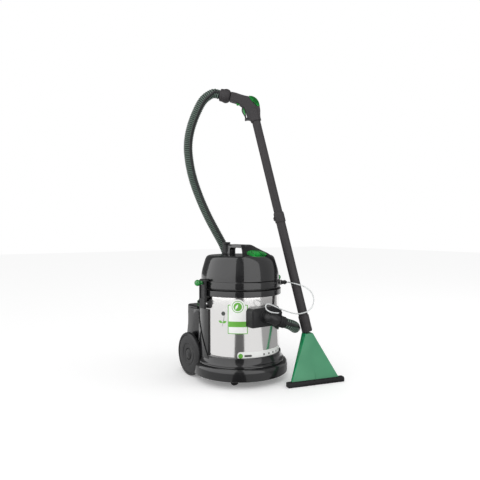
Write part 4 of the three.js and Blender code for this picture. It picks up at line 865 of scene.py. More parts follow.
@dataclass
class Drum:
    """Steel drum with its collar and plain labels."""

    radius: float = 170.0
    base: float = 100.3
    rim: float = 368.3
    wall: float = 1.5
    collar: float = 177.0

    def shell(self) -> None:
        """Turns the drum."""
        inside = self.radius - self.wall
        Form().spun([(0, self.base), (165, self.base), (168.5, self.base + 1.5), (self.radius, self.base + 5),
                     (self.radius, self.rim), (inside, self.rim), (inside, self.base + 6),
                     (inside - 4, self.base + self.wall), (0, self.base + self.wall)], 128).piece(
            "steel_drum", DRUM_STEEL, stands_for=["drum"])

    def ring(self) -> None:
        """Turns the collar that the head stands in."""
        top = self.rim + 14
        made = Form().spun([(self.radius + 0.3, self.rim - 10), (self.collar, self.rim - 10),
                            (self.collar, top - 1), (self.collar - 1, top), (162, top), (162, self.rim + 3.3),
                            (152.5, self.rim + 3.3), (152.5, self.rim + 0.3),
                            (self.radius + 0.3, self.rim + 0.3)], 128).piece(
            "collar_ring", GLOSS_BLACK, stands_for=["drum_collar"])
        soften(made, 1.0)

    def label(self, name: str, look: Finish, outline: Sequence[Pair], height: float, corner: float = 0.0,
              lift: float = 0.1) -> None:
        """Lays a thin plate round the drum.

        Args:
            name: the piece's name.
            look: its finish.
            outline: corners as [degrees round from the front, height].
            height: how thick it is.
            corner: rounding of its corners.
            lift: how far its back stands off the steel.
        """
        reach = math.radians(1) * self.radius
        form = Form().raised([(turn * reach, z) for turn, z in outline], lift, lift + height, corner=corner)
        across = [v.co.x for v in form.bm.verts]
        at = min(across) + 3
        while at < max(across):
            bmesh.ops.bisect_plane(form.bm, geom=form.bm.verts[:] + form.bm.edges[:] + form.bm.faces[:],
                                   plane_co=(at, 0, 0), plane_no=(1, 0, 0))
            at += 3

        def wrap(spot: Vector) -> Vector:
            """Bends the flat plate round the drum."""
            turn = spot.x / self.radius - math.pi / 2
            out = self.radius + spot.z
            return Vector((out * math.cos(turn), out * math.sin(turn), spot.y))

        form.reshaped(wrap).piece(name, look, crease=50)

    def disc(self, turn: float, height: float, size: float) -> list[Pair]:
        """Outline of a round label: a circle on the drum's skin."""
        per_degree = math.radians(1) * self.radius
        return [(turn + size * math.cos(2 * math.pi * i / 48) / per_degree,
                 height + size * math.sin(2 * math.pi * i / 48))
                for i in range(48)]

    def leaf(self, turn: float, height: float, length: float, width: float, lean: float) -> list[Pair]:
        """Outline of a leaf that grows from a spot and leans by some degrees."""
        per_degree = math.radians(1) * self.radius
        along = Vector((math.cos(math.radians(lean)), math.sin(math.radians(lean))))
        across = Vector((-along.y, along.x))
        ring = [along * length * t + across * width * side * math.sin(math.pi * t)
                for side, steps in ((1, range(0, 13)), (-1, range(11, 0, -1)))
                for t in [i / 12 for i in steps]]
        return [(turn + p.x / per_degree, height + p.y) for p in ring]

    def labels(self) -> None:
        """Lays the portrait label, the flower and the low band, all without words."""
        self.label("portrait_border", LABEL_GREEN, slab(-51.8, -24.4, 213, 330), 0.15, 3.0)
        self.label("portrait_field", LABEL_WHITE, slab(-50.7, -25.5, 216.0, 327.0), 0.3, 2.0)
        self.label("portrait_band", LABEL_GREEN, slab(-50.6, -25.6, 241, 263), 0.4, 0.6)
        self.label("portrait_disc", LABEL_WHITE, self.disc(-38.1, 322, 30), 0.45)
        self.label("portrait_ring", LABEL_GREEN, self.disc(-38.1, 322, 24), 0.55)
        self.label("portrait_ring_field", LABEL_WHITE, self.disc(-38.1, 322, 21.5), 0.65)
        self.label("portrait_globe", LABEL_GREEN, self.disc(-38.1, 322, 17), 0.75)
        self.label("portrait_petal", LABEL_WHITE, self.leaf(-41.5, 311, 24, 4.2, 62), 0.85)
        self.label("flower_stem", LABEL_DARK, self.leaf(-60.0, 238, 52, 0.9, 78), 0.3)
        self.label("flower_head", LABEL_DARK, self.disc(-58.4, 293, 8.5), 0.3)
        for i, lean in enumerate((20, 160)):
            self.label(f"flower_leaf_{i + 1}", LABEL_GREEN, self.leaf(-59.6, 256, 19, 5.0, lean), 0.4)
        self.label("low_band", LABEL_WHITE, slab(-38.5, 43, 109, 141), 0.3, 12.0)
        self.label("low_band_disc", LABEL_GREEN, self.disc(-34.2, 125, 9.5), 0.45)
        for i, turn in enumerate((-24, 0, 9, 18, 27, 36)):
            half = 5 if i == 0 else 1.2
            mark = slab(turn - half, turn + half, 121, 129)
            self.label(f"low_band_mark_{i + 1}", LABEL_DARK, mark, 0.45, 1.2)

    def build(self) -> None:
        """Makes the drum, its collar and its labels."""
        self.shell()
        self.ring()
        self.labels()


@dataclass
class Head:
    """Motor head: housing, control hump with its window and keys, handle, port and fittings."""

    band: float = 174.5
    band_low: float = 390.3
    hump_top: float = 567.0
    hump_half_angle: float = 30.0
    hump_rear: float = -42.0
    hump_proud: float = 2.4
    panel_spot: Point = (0.0, -124.0, 534.0)
    panel_tilt: float = 36.0
    panel_half: Pair = (50.0, 29.0)
    keys: dict[str, float] = field(default_factory=lambda: {"left": -6.0, "right": 28.0})

    def hump_line(self, grow: float) -> list[Pair]:
        """Outer line of the hump from its foot to the axis, pushed out by a margin."""
        side = grow + self.hump_proud
        shoulder = flowing([(171 + side, 421), (168.5 + side, 459), (165 + side, 478), (160 + side, 498),
                            (153 + side, 511 + grow), (142 + side, 523 + grow), (128 + side, 532 + grow),
                            (108, 541.5 + grow), (80, 554 + grow), (50, 567 + grow), (0, 568 + grow)], 4)
        return [(max(p.x, 0.0), p.y) for p in shoulder]

    def housing(self) -> None:
        """Turns the head's housing."""
        side = flowing([(168.5, 419.5), (168, 440), (165, 457), (161, 472), (155, 492), (149.5, 508),
                        (144, 517), (137, 521), (128, 522)], 4)
        outer = [(self.band, self.band_low), (self.band, 413), (174, 415.5), (172, 417.8), (169.5, 418.2),
                 *[(p.x, p.y) for p in side], (0, 523)]
        inner = [(0, 519), (126, 518), (141, 514), (152, 489), (158, 469), (165, 437), (165.5, 419),
                 (171.5, 414), (171.5, self.band_low)]
        soften(Form().spun(outer + inner, 128).piece("head_shell", GLOSS_BLACK, stands_for=["head_housing"],
                                                     crease=35), 0.8)

    def _wedge(self, form: Form, grow: float = 0.0) -> Form:
        """Keeps the part of a turned form between the hump's two sides."""
        turn = math.radians(self.hump_half_angle)
        planes = [((grow, 0, 0), (math.cos(turn), math.sin(turn), 0)),
                  ((-grow, 0, 0), (-math.cos(turn), math.sin(turn), 0)),
                  ((0, self.hump_rear, 0), (0, 1, 0))]
        for spot, normal in planes:
            form.sliced(spot, normal)
        return form

    def _window(self, half: Pair, low: float, high: float, corner_steps: int = 64) -> Form:
        """Upright prism of the oval window, on the panel's slope."""
        ring = [(half[0] * math.cos(2 * math.pi * i / corner_steps),
                 half[1] * math.sin(2 * math.pi * i / corner_steps))
                for i in range(corner_steps)]
        return Form().raised(ring, low, high, self._slope())

    def _slope(self) -> Matrix:
        """Place of the panel on the hump's slope."""
        return Matrix.Translation(self.panel_spot) @ Matrix.Rotation(math.radians(self.panel_tilt), 4, "X")

    def hump(self) -> None:
        """Makes the control hump and cuts the opening for its window."""
        line = self.hump_line(0.0)
        inner = [(0, 562), (60, 556), (150, 505), (164, 460), (165, 421)]
        made = self._wedge(Form().spun(line + inner, 160)).piece("control_hump", GLOSS_BLACK,
                                                                 stands_for=["top_cover"], crease=35)
        combined(made, self._window(self.panel_half, -12, 48), "DIFFERENCE", 35)
        soften(made, 1.6, 3)

    def handle(self) -> None:
        """Makes the arch that runs back from the hump to its post."""
        top = self.hump_top
        form = Form().raised([(-66, 552), (46, 553), (56, 549), (58, 544), (58, 518), (82, 518), (82, 552),
                              (79, 560), (70, top - 0.5), (58, top), (-40, top + 0.5), (-66, top - 3)],
                             -15.5, 15.5, SIDE, corner=3.0, soft=5.0, segments=4)
        form.piece("carrying_arch", GLOSS_BLACK, crease=40)

    def window(self) -> None:
        """Makes the green window and its two keys."""
        plate = Form().spun(self.hump_line(-0.8) + [(0, 524), (120, 524), (150, 505)], 160).piece(
            "green_window", GREEN_LENS, stands_for=["button_panel"], crease=35)
        combined(plate, self._window((49.7, 28.7), -11.7, 48), "INTERSECT", 35)
        for side, x in self.keys.items():
            cut_key = self._key(x, 0.9, -40, 60)
            combined(plate, cut_key, "DIFFERENCE", 35)
            key = Form().spun(self.hump_line(1.7) + [(0, 540), (120, 537), (138, 526), (152, 515)],
                              160).piece(
                f"{side}_key", GREEN_LENS, f"button_{side}_body", [f"button_{side}"], crease=35)
            combined(key, self._key(x, 0.0, -9, 60), "INTERSECT", 35)
            combined(key, self._window((46.6, 25.6), -14, 76), "INTERSECT", 35)
            soften(key, 1.2, 3)
        soften(plate, 0.5)

    def _key(self, x: float, grow: float, low: float, high: float) -> Form:
        """Prism of a key, grown by a clearance."""
        w, h = 14.5 + grow, 19 + grow
        return Form().raised([(x - w, -2 - h), (x + w, -2 - h), (x + w, h - 2), (x - w, h - 2)], low, high,
                             self._slope(), corner=7.0)

    def fittings(self) -> None:
        """Makes the exhaust port, the quick coupling and the cable's gland."""
        Form().spun([(12, 522.7), (21, 522.7), (21, 526.7), (17, 529.7), (16, 565), (18, 567), (18, 574),
                     (17, 575), (12, 575)], 48, Matrix.Translation((0, 108, 0)), wire_bevel=0.8).piece(
            "air_port", SATIN_BLACK, stands_for=["exhaust_port"])
        start = 175.2
        turn = Matrix.Rotation(math.radians(-41), 4, "Z") @ Matrix.Translation((0, 0, 405)) @ Axis.X.value
        Form().spun([(0, start), (11, start), (11, start + 5), (8, start + 6), (8, start + 9),
                     (8.8, start + 9.5), (8.8, start + 11.5), (8, start + 12), (8, start + 16),
                     (9.5, start + 17), (9.5, start + 21), (6, start + 24), (4.5, start + 28),
                     (0, start + 28)], 40, turn, wire_bevel=0.4).piece(
            "tube_coupling", SATIN_BLACK, stands_for=["quick_coupling"])
        root = self.band + 0.3
        back = Matrix.Rotation(math.radians(24), 4, "Z") @ Matrix.Translation((0, 0, 404)) @ Axis.Y.value
        Form().spun([(4, root), (9, root), (9, root + 5), (7.4, root + 6), (7.6, root + 8), (6.6, root + 9),
                     (6.8, root + 11), (6, root + 16), (4, root + 16)], 32, back, wire_bevel=0.4).piece(
            "cable_sleeve", RUBBER, stands_for=["cable_gland"])

    def build(self) -> None:
        """Makes the whole head."""
        self.housing()
        self.hump()
        self.handle()
        self.window()
        self.fittings()


@dataclass
class Base:
    """Wheeled base: ring, deck, cradle, cheeks, rear wheels and casters."""

    ring: float = 204.0
    seat: float = 170.3
    cradle: float = 176.3
    low: float = 29.0
    top: float = 76.0
    deck_half: float = 156.0
    deck_rear: float = 256.0
    deck_top: float = 79.0
    wheel_spot: Point = (167.0, 127.0, 92.0)
    wheel_radius: float = 92.0
    wheel_width: float = 21.0

    def wheel_pockets(self) -> Form:
        """Room for both rear wheels in the base."""
        form = Form()
        for side in (-1, 1):
            form.spun([(0, 0), (97, 0), (97, 60), (0, 60)], 64,
                      standing((side * 164.5, self.wheel_spot[1], self.wheel_spot[2]), (side, 0, 0)))
        return form

    def shell(self) -> None:
        """Makes the ring with its stepped shoulder, and the deck behind it."""
        low, top = self.low, self.top
        shoulder = flowing([(187.3, top + 2), (186.3, top + 8), (189.3, top + 9), (182.3, top + 16),
                            (178.3, top + 26), (176.3, top + 38)], 3)
        profile = [(0, 94), (162, 94), (187, top - 4), (193, top - 12), (200, low), (202.5, low),
                   (204, low + 1.5), (204, top - 16), (203, top - 9), (200, top - 4), (196, top - 0.5),
                   *[(p.x, p.y) for p in shoulder], (174.5, top + 40), (self.seat, top + 40),
                   (self.seat, 104), (166, 100), (0, 100)]
        ring = Form().spun(profile, 144).piece("base_ring", GLOSS_BLACK, stands_for=["base_shell"], crease=32)
        combined(ring, self.wheel_pockets(), "DIFFERENCE", 32)
        soften(ring, 0.8)
        half, rear = self.deck_half, self.deck_rear
        deck = Form().raised([(-half, 120), (half, 120), (half, rear), (-half, rear)], low + 8, self.deck_top,
                             corner=26.0, soft=3.0, segments=5).piece("rear_deck", GLOSS_BLACK, crease=40)
        hollow = Form().block((4 - half, 40, 20), (half - 4, rear - 4, self.deck_top - 4), 3)
        combined(deck, hollow, "DIFFERENCE", 40)
        combined(deck, Form().spun([(0, 10), (168, 10), (168, 99), (0, 99)], 96), "DIFFERENCE", 40)

    def back(self) -> None:
        """Makes the cradle behind the drum with its outer wing, cheeks and axle bosses."""
        front = Form().spun([(self.seat, 100), (self.cradle, 100), (self.cradle, 302), (175, 303),
                             (171.5, 303), (self.seat, 302)], 128)
        front.sliced((0, -21, 0), (0, -1, 0))
        cradle = front.piece("drum_cradle", GLOSS_BLACK, crease=40)
        combined(cradle, self.wheel_pockets(), "DIFFERENCE", 40)
        soften(cradle, 1.2, 3)
        wing = Form().spun([(self.cradle - 2, 102), (self.cradle + 3.4, 102), (self.cradle + 3.4, 288),
                            (self.cradle + 2.4, 290), (self.cradle - 2, 290)], 128)
        wing.sliced((0, 92, 290), (0, -0.844, 0.538))
        layer = wing.piece("cradle_wing", GLOSS_BLACK, crease=40)
        combined(layer, self.wheel_pockets(), "DIFFERENCE", 40)
        soften(layer, 1.2, 3)
        outline = [(64, 49), (230, 49), (230, 100), (196, 150), (174, 276), (164, 288), (84, 288)]
        for side, label in ((-1, "left"), (1, "right")):
            x = side * (self.deck_half - 4.5)
            form = Form().raised(outline, x - 4.5, x + 4.5, SIDE, corner=5.0, soft=2.5)
            form.piece(f"{label}_cheek", GLOSS_BLACK, crease=40)
            boss = Form()
            spot = (side * (self.deck_half - 18), self.wheel_spot[1], self.wheel_spot[2])
            boss.spun([(0, 0), (14, 0), (14, 21), (13, 22), (0, 22)], 48, standing(spot, (side, 0, 0)))
            boss.piece(f"{label}_axle_boss", GLOSS_BLACK, crease=40)

    def wheels(self) -> None:
        """Turns the rear wheels and their hub caps."""
        rim, face = self.wheel_radius, self.wheel_width
        for side, label in ((-1, "left"), (1, "right")):
            place = standing((side * self.wheel_spot[0], *self.wheel_spot[1:]), (side, 0, 0))
            body = f"rear_wheel_{label}_body"
            tyre = Form().spun([(7.6, 0), (rim - 9, 0), (rim - 2, 4), (rim, 8), (rim, face - 5),
                                (rim - 1, face - 2.4), (rim - 3, face - 1), (rim - 8, face),
                                (rim - 10, face - 1), (rim - 11, face - 3), (rim - 13, face - 2.4),
                                (rim - 17, face - 1), (rim - 44, face - 2), (rim - 45.5, face - 3.4),
                                (rim - 47, face - 4), (rim - 48.5, face - 3.4), (rim - 50, face - 2),
                                (26, face - 3), (24.6, face - 4), (24, face - 7), (7.6, face - 7)], 128,
                               place)
            soften(tyre.piece(f"{label}_wheel", SATIN_BLACK, body, [f"rear_wheel_{label}"], crease=30), 0.6)
            cap = Form().spun([(0, face - 6.7), (22, face - 6.7), (22, face - 4), (20.6, face - 2.2),
                               (19, face - 1.5), (12, face - 1.5), (11, face - 1.1), (9, face - 0.6),
                               (0, face - 0.6)], 64, place)
            cap.piece(f"{label}_hub_cap", SATIN_BLACK, body, [f"hub_cap_{label}"], crease=30)

    def casters(self) -> None:
        """Turns the caster wheels."""
        for side, label in ((-1, "left"), (1, "right")):
            place = standing((side * 101, -102, 25), (1, 0, 0))
            Form().spun([(3.3, -7.5), (10, -7.5), (12, -6.4), (19, -6.4), (20.5, -7.5), (22, -7.5),
                         (24, -6.6), (25, -4.5), (25, 4.5), (24, 6.6), (22, 7.5), (20.5, 7.5), (19, 6.4),
                         (12, 6.4), (10, 7.5), (3.3, 7.5)], 48, place).piece(f"{label}_caster_wheel", RUBBER,
                                                                             f"caster_roller_{label}",
                                                       [f"caster_wheel_{label}"], crease=35)

    def build(self) -> None:
        """Makes the whole base."""
        self.shell()
        self.back()
        self.wheels()
        self.casters()


@dataclass
class Tank:
    """Clean-water tank behind the drum, with its screw cap."""

    half: float = 128.0
    rear: float = 250.0
    floor: float = 79.3
    top: float = 290.0
    mouth: Pair = (-64.0, 206.0)
    cap: float = 27.0

    def build(self) -> None:
        """Makes the tank and the cap."""
        half, rear = self.half, self.rear
        form = Form().raised([(-half, 100), (half, 100), (half, rear), (-half, rear)], self.floor, self.top,
                             corner=22.0, soft=6.0, segments=5)
        form.sliced((0, 124.5, self.floor), (0, -1, 0.13))
        made = form.piece("water_tank", GLOSS_BLACK, "tank", ["rear_tank"], crease=40)
        combined(made, Form().spun([(0, 60), (191.5, 60), (191.5, 90), (180.5, 106), (180.5, 320), (0, 320)],
                                   128),
                 "DIFFERENCE", 40)
        slots = Form().raised([(rear - 8, self.top - 41), (rear + 8, self.top - 41),
                               (rear + 8, self.top - 27), (rear - 8, self.top - 27)], -48, 48, SIDE,
                              corner=4.0)
        for side in (-1, 1):
            near, far = sorted((side * (half - 5), side * (half + 9)))
            slots.raised([(190, self.top - 40), (230, self.top - 40), (230, self.top - 29),
                          (190, self.top - 29)],
                         near, far, SIDE, corner=4.5)
        combined(made, slots, "DIFFERENCE", 40)
        soften(made, 1.5, 3)
        x, y = self.mouth
        place = Matrix.Translation((x, y, 0))
        Form().spun([(21, self.top - 4), (24, self.top - 4), (24, self.top + 8), (21, self.top + 8)], 64,
                    place).piece(
            "tank_neck", GLOSS_BLACK, "tank")
        under = self.top + 1
        lid = Form().spun([(24.6, under), (self.cap, under), (self.cap, under + 12),
                           (self.cap - 1, under + 13.6), (self.cap - 3, under + 14), (0, under + 14),
                           (0, under + 10), (24.6, under + 10)], 64, place)
        lid.block((x - 23, y - 4.5, under + 12), (x + 23, y + 4.5, under + 21), 2.5, 3)
        for i in range(24):
            turn = 2 * math.pi * i / 24
            lid.block((x + (self.cap - 0.6) * math.cos(turn) - 0.9,
                       y + (self.cap - 0.6) * math.sin(turn) - 0.9, under + 1),
                      (x + (self.cap - 0.6) * math.cos(turn) + 0.9,
                                    y + (self.cap - 0.6) * math.sin(turn) + 0.9, under + 10), 0.5)
        lid.piece("screw_cap", GREEN_LENS, "cap", ["tank_cap"], crease=35)


@dataclass
class Inlet:
    """Suction inlet: plate on the drum, elbow and rubber cuff."""

    face: float = 191.0
    middle: Pair = (-8.0, 281.0)
    width: float = 154.0
    height: float = 80.0

    def build(self) -> None:
        """Makes the plate, the elbow and the cuff."""
        x, z = self.middle
        w, h = self.width / 2, self.height / 2
        outline = [(-w, -h), (w, -h), (w, h - 22), (w - 24, h), (-w + 10, h - 4), (-w, h - 12)]
        plate = Form().raised(outline, 148, self.face, Matrix.Translation((0, 0,
                                                                           z)) @ Matrix.Rotation(math.pi / 2,
                                                                                                 4, "X"),
                              corner=9.0, soft=3.5, segments=4)
        plate.raised([(-w + 8, 7 - h), (6, 7 - h), (6, h - 11), (-w + 14, h - 14), (-w + 8, h - 20)],
                     self.face - 3, self.face + 1.2, Matrix.Translation((0, 0,
                                                                         z)) @ Matrix.Rotation(math.pi / 2, 4,
                                                                                               "X"),
                     corner=5.0, soft=1.0)
        made = plate.piece("inlet_panel", SATIN_BLACK, stands_for=["inlet_plate"], crease=40)
        combined(made, Form().spun([(0, 200), (170.3, 200), (170.3, 350), (0, 350)], 128), "DIFFERENCE", 40)
        boss = Form().spun([(0, 180), (27, 180), (27, 192.5), (25.5, 195), (0, 195)], 64,
                           Matrix.Translation((x, 0, z)) @ Axis.FRONT.value)
        boss.piece("inlet_boss", SATIN_BLACK, crease=40)
        route = Route([(x, -186, z), (x, -196, z), (x, -204, z - 0.5), (x + 5, -216, z - 2),
                       (x + 18, -224, z - 7), (x + 34, -226, z - 13), (x + 42, -227, z - 16)], 2.0)
        swept(Form(), route.places(Vector((0, 0, 1))), lambda i: 22.5 if 2 < i < 7 else 21.0, 40).piece(
            "suction_elbow", SATIN_BLACK, stands_for=["inlet_elbow"], crease=40)
        end = (x + 42, -227, z - 16)
        cuff = Form().spun([(21.3, -7), (23, -7), (24, -5), (24, 4), (23.5, 6), (22.5, 7), (22.5, 10),
                            (23.3, 11), (23.3, 14), (22.5, 15), (22.5, 18), (23.3, 19), (23.3, 21),
                            (22.5, 22), (20, 22), (20, 1), (21.3, 1)], 64, standing(end, (8, -1, -3)))
        cuff.spun([(0, 16), (4, 16), (4, 31), (3, 33), (0, 33)], 24,
                  Matrix.Translation((end[0] + 8, end[1], end[2])))
        cuff.spun([(0, -4), (3.4, -4), (4, -3), (4, 11), (3.4, 12), (0, 12)], 24,
                  Matrix.Translation((end[0], end[1], end[2] + 33)) @ Axis.X.value)
        cuff.piece("rubber_cuff", RUBBER, stands_for=["hose_cuff"], crease=40)


@dataclass
class Clamp:
    """One side clamp of the head: lever and ball knob."""

    side: int
    label: str
    inner: float = 181.0
    thick: float = 12.0
    half: float = 22.0
    pivot: float = 330.0
    hook: float = 420.0

    def build(self) -> None:
        """Makes the lever with its window and the knob on its stem."""
        inner, outer, hook = self.inner, self.inner + self.thick, self.hook
        profile = [(inner + 3, 307), (outer - 1, 307), (outer, 311), (outer, hook + 1), (outer - 4, hook + 6),
                   (inner - 8, hook + 6), (inner - 10, hook + 4), (inner - 10, hook), (inner, hook),
                   (inner, self.pivot + 12), (inner, 315)]
        turn = Matrix.Rotation(0 if self.side > 0 else math.pi, 4, "Z")
        lever = Form().raised(profile, -self.half, self.half, turn @ Matrix.Rotation(math.pi / 2, 4, "X"),
                              corner=1.2, soft=3.0, segments=4)
        body = f"clamp_{self.label}"
        made = lever.piece(f"{self.label}_clamp_lever", SATIN_BLACK, body, [f"clamp_lever_{self.label}"],
                           crease=40)
        window = Form().raised([(outer - 3, self.pivot + 18), (outer + 5, self.pivot + 18),
                                (outer + 5, hook - 12), (outer - 3, hook - 12)], 8 - self.half, self.half - 8,
                               turn @ Matrix.Rotation(math.pi / 2, 4, "X"))
        combined(made, window, "DIFFERENCE", 40)
        knob = Form().spun([(0, -20), (8, -20), (8, -17.5), (6.4, -16.4), (5.5, -14), (5.5, -11)]
                           + [(13 * math.cos(a), 13 * math.sin(a)) for a in
                              [math.radians(d) for d in range(-60, 90, 10)]] + [(0, 13)], 48,
                           turn @ Matrix.Translation((213, 0, 413)) @ Matrix.Rotation(math.pi / 2, 4, "Y"))
        knob.piece(f"{self.label}_clamp_knob", GREEN_LENS, body, [f"clamp_knob_{self.label}"], crease=40)


@dataclass
class Wand:
    """Leaning wand: cuff, two tubes, joint sleeve and the pistol handle."""

    neck: Point = (198.0, -213.0, 200.0)
    top: Point = (75.0, -8.0, 1132.0)
    grip_heading: Point = (0.819, -0.574, 0.0)
    lower: float = 19.8
    upper: float = 18.6
    joint: float = 478.0
    grip_half: float = 16.0

    def station(self, spot: Point) -> Matrix:
        """Place whose Z runs up the wand and whose -X points along the grip."""
        axis = (Vector(self.top) - Vector(self.neck)).normalized()
        heading = Vector(self.grip_heading)
        across = (heading - heading.dot(axis) * axis).normalized()
        turn = Matrix((across, axis.cross(across), axis)).transposed().to_4x4()
        return Matrix.Translation(Vector(spot)) @ turn

    def tubes(self) -> None:
        """Turns the cuff, both tubes and the joint sleeve with its catch."""
        low = self.station(self.neck)
        cuff = Form().spun([(14, 0.8), (20.2, 0.8), (20.8, 1.6), (21.2, 34), (21.5, 40), (22.2, 42),
                            (22.6, 46), (22.6, 69), (22, 70), (20.1, 70), (20.1, 40), (14, 34)], 72, low)
        for i in range(4):
            turn = 2 * math.pi * i / 4
            rib = Form().block((19, -2.2, 4), (22.2, 2.2, 41), 1.0)
            rib.moved(low @ Matrix.Rotation(turn, 4, "Z"))
            cuff.joined(rib)
        cuff.piece("wand_socket", MATTE_GREY, stands_for=["wand_cuff"], crease=40)
        wall, joint = 2.0, self.joint
        Form().spun([(self.lower - wall, 40.3), (self.lower, 40.3), (self.lower, joint + 18),
                     (self.lower - wall, joint + 18)], 72, low).piece("lower_tube", MATTE_GREY,
                                                                      stands_for=["wand_lower_tube"],
                                                                      crease=40)
        Form().spun([(self.upper - wall, joint + 19), (self.upper, joint + 19), (self.upper, 971.7),
                     (self.upper - wall, 971.7)], 72, low).piece("upper_tube", MATTE_GREY,
                                                                 stands_for=["wand_upper_tube"], crease=40)
        sleeve = Form().spun([(self.lower + 0.3, joint), (21.6, joint), (22, joint + 0.6), (22.8, joint + 4),
                              (22.8, joint + 34), (22.6, joint + 38), (21.4, joint + 43.4),
                              (20.8, joint + 44), (self.upper + 0.3, joint + 44),
                              (self.upper + 0.3, joint + 19), (self.lower + 0.3, joint + 19)], 72, low)
        catch = Form().block((-26.8, -7, joint + 12), (-21, 7, joint + 28), 2.0, 3).moved(low)
        sleeve.joined(catch).piece("joint_sleeve", MATTE_GREY, stands_for=["wand_joint_sleeve"], crease=40)

    def grip_outline(self) -> list[Pair]:
        """Side view of the grip, in its own place: x along minus the grip, z up the wand."""
        runs = [[(24, 0), (29, 22), (30, 42), (28, 60), (20, 77), (7, 88)],
                [(7, 88), (-13, 95), (-39, 109), (-58, 121), (-77.4, 130.5)],
                [(-94.2, 94.3), (-80, 86), (-70.6, 80.5), (-58.6, 72), (-47, 58), (-41, 50)],
                [(-41, 50), (-36, 34), (-34, 16), (-34, 0)], [(-47, -1.5)],
                [(-47, -6.5), (-30, -8), (-22, -14), (-18, -20)]]
        line: list[Pair] = [(20, -20)]
        for run in runs:
            line += [(p.x, p.y) for p in flowing(run, 5)] if len(run) > 1 else run
        clean = [line[0]]
        for spot in line[1:]:
            if math.dist(spot, clean[-1]) > 0.4:
                clean.append(spot)
        return clean

    def grip(self) -> None:
        """Makes the rounded pistol grip with its socket, then cuts the trigger's and the keys' rooms."""
        place = self.station(self.top)
        upright = Matrix.Rotation(math.pi / 2, 4, "X")
        form = Form().raised(self.grip_outline(), -self.grip_half, self.grip_half, upright, soft=7.0,
                             segments=4)
        form.spun([(0, -23.4), (23.4, -23.4), (23.4, 34), (0, 34)], 64)
        made = form.moved(place).piece("grip_shell", MATTE_GREY, stands_for=["handle_shell"])
        melted(made, 1.3, 14)
        rooms = Form().block((-60, -8.8, 2.0), (-24, 8.8, 58), 1.5)
        rooms.block((-67.6, -5.6, 55), (-50.4, 5.6, 92), 2)
        combined(made, rooms.moved(place), "DIFFERENCE", 40)
        combined(made, Form().spun([(0, -40), (self.upper + 0.3, -40), (self.upper + 0.3, 10), (0, 10)], 64,
                                   place),
                 "DIFFERENCE", 40)
        combined(made, self._key_room(1.8, place, upright), "DIFFERENCE", 40)

    def _key_room(self, grow: float, place: Matrix, upright: Matrix) -> Form:
        """Band inside the grip's shoulder where the air valve's key sits."""
        inner = [(p.x, p.y) for p in flowing([(20 - grow, 39 - grow), (9 - grow, 54), (-1 - grow, 73),
                                              (-6 - grow, 88)], 4)]
        form = Form().raised([(-6 - grow, 100), (40, 100), (40, 38 - grow), *inner], -24, 24, upright)
        return form.moved(place)

    def controls(self) -> None:
        """Makes the trigger, the air valve's key, the lock tab and the hose's swivel cuff."""
        place = self.station(self.top)
        upright = Matrix.Rotation(math.pi / 2, 4, "X")
        lever = [(p.x, p.y) for p in flowing([(-29, 45), (-30, 51), (-35, 54), (-41, 53), (-47, 50),
                                              (-51, 42), (-50, 30), (-45, 14), (-44, 4.6)], 3)]
        lever += [(-38, 4.6)] + [(p.x, p.y) for p in flowing([(-37, 20), (-34, 38)], 3)]
        trigger = Form().raised(lever, -8, 8, upright, soft=2.2, segments=3)
        trigger.moved(place).piece("trigger_lever", MATTE_GREY, "trigger_body", ["trigger"], crease=50)
        insert = Form().raised([(-38.2, 45), (-44.5, 45), (-48.5, 34), (-43.5, 15), (-40.5, 15), (-38.8, 30)],
                               -8.5, 8.5, upright, corner=1.5, soft=0.4)
        insert.moved(place).piece("trigger_insert", GREEN_LENS, "trigger_body", crease=50)
        outline = Form().raised(self.grip_outline(), -30, 30, upright)
        key = outline.moved(place @ Matrix.Translation((1.0, 0, 0.8))).piece(
            "air_key", GREEN_LENS, "air_valve", ["air_valve_key"], crease=40)
        combined(key, self._key_room(0.0, place, upright), "INTERSECT", 40)
        combined(key, Form().block((-8.6, -self.grip_half - 0.4, 38.8),
                                   (60, self.grip_half + 0.4, 97)).moved(place), "INTERSECT", 40)
        soften(key, 1.6, 3)
        tab = Form().block((-67, -5, 66.5), (-51, 5, 82.5), 2.5, 3).moved(place)
        tab.piece("hose_lock_tab", GREEN_LENS, "lock_tab_body", ["lock_tab"], crease=50)
        start = place @ Vector((-128, 0, 132))
        heading = place.to_3x3() @ Vector((0.907, 0, -0.421))
        r = 21.0
        swivel = [(0, 0), (r + 4, 0), (r + 5, 1), (r + 6, 3), (r + 7, 14)]
        swivel += [(p.x, p.y) for p in flowing([(r + 7.2, 15), (r + 9.5, 22), (r + 10, 28), (r + 9, 34),
                                                (r + 6, 40), (r + 1, 45)], 4)] + [(0, 46)]
        Form().spun(swivel, 72, standing(tuple(start), tuple(heading))).piece(
            "hose_swivel", MATTE_GREY, stands_for=["handle_cuff"], crease=35)

    def build(self) -> None:
        """Makes the whole wand."""
        self.tubes()
        self.grip()
        self.controls()


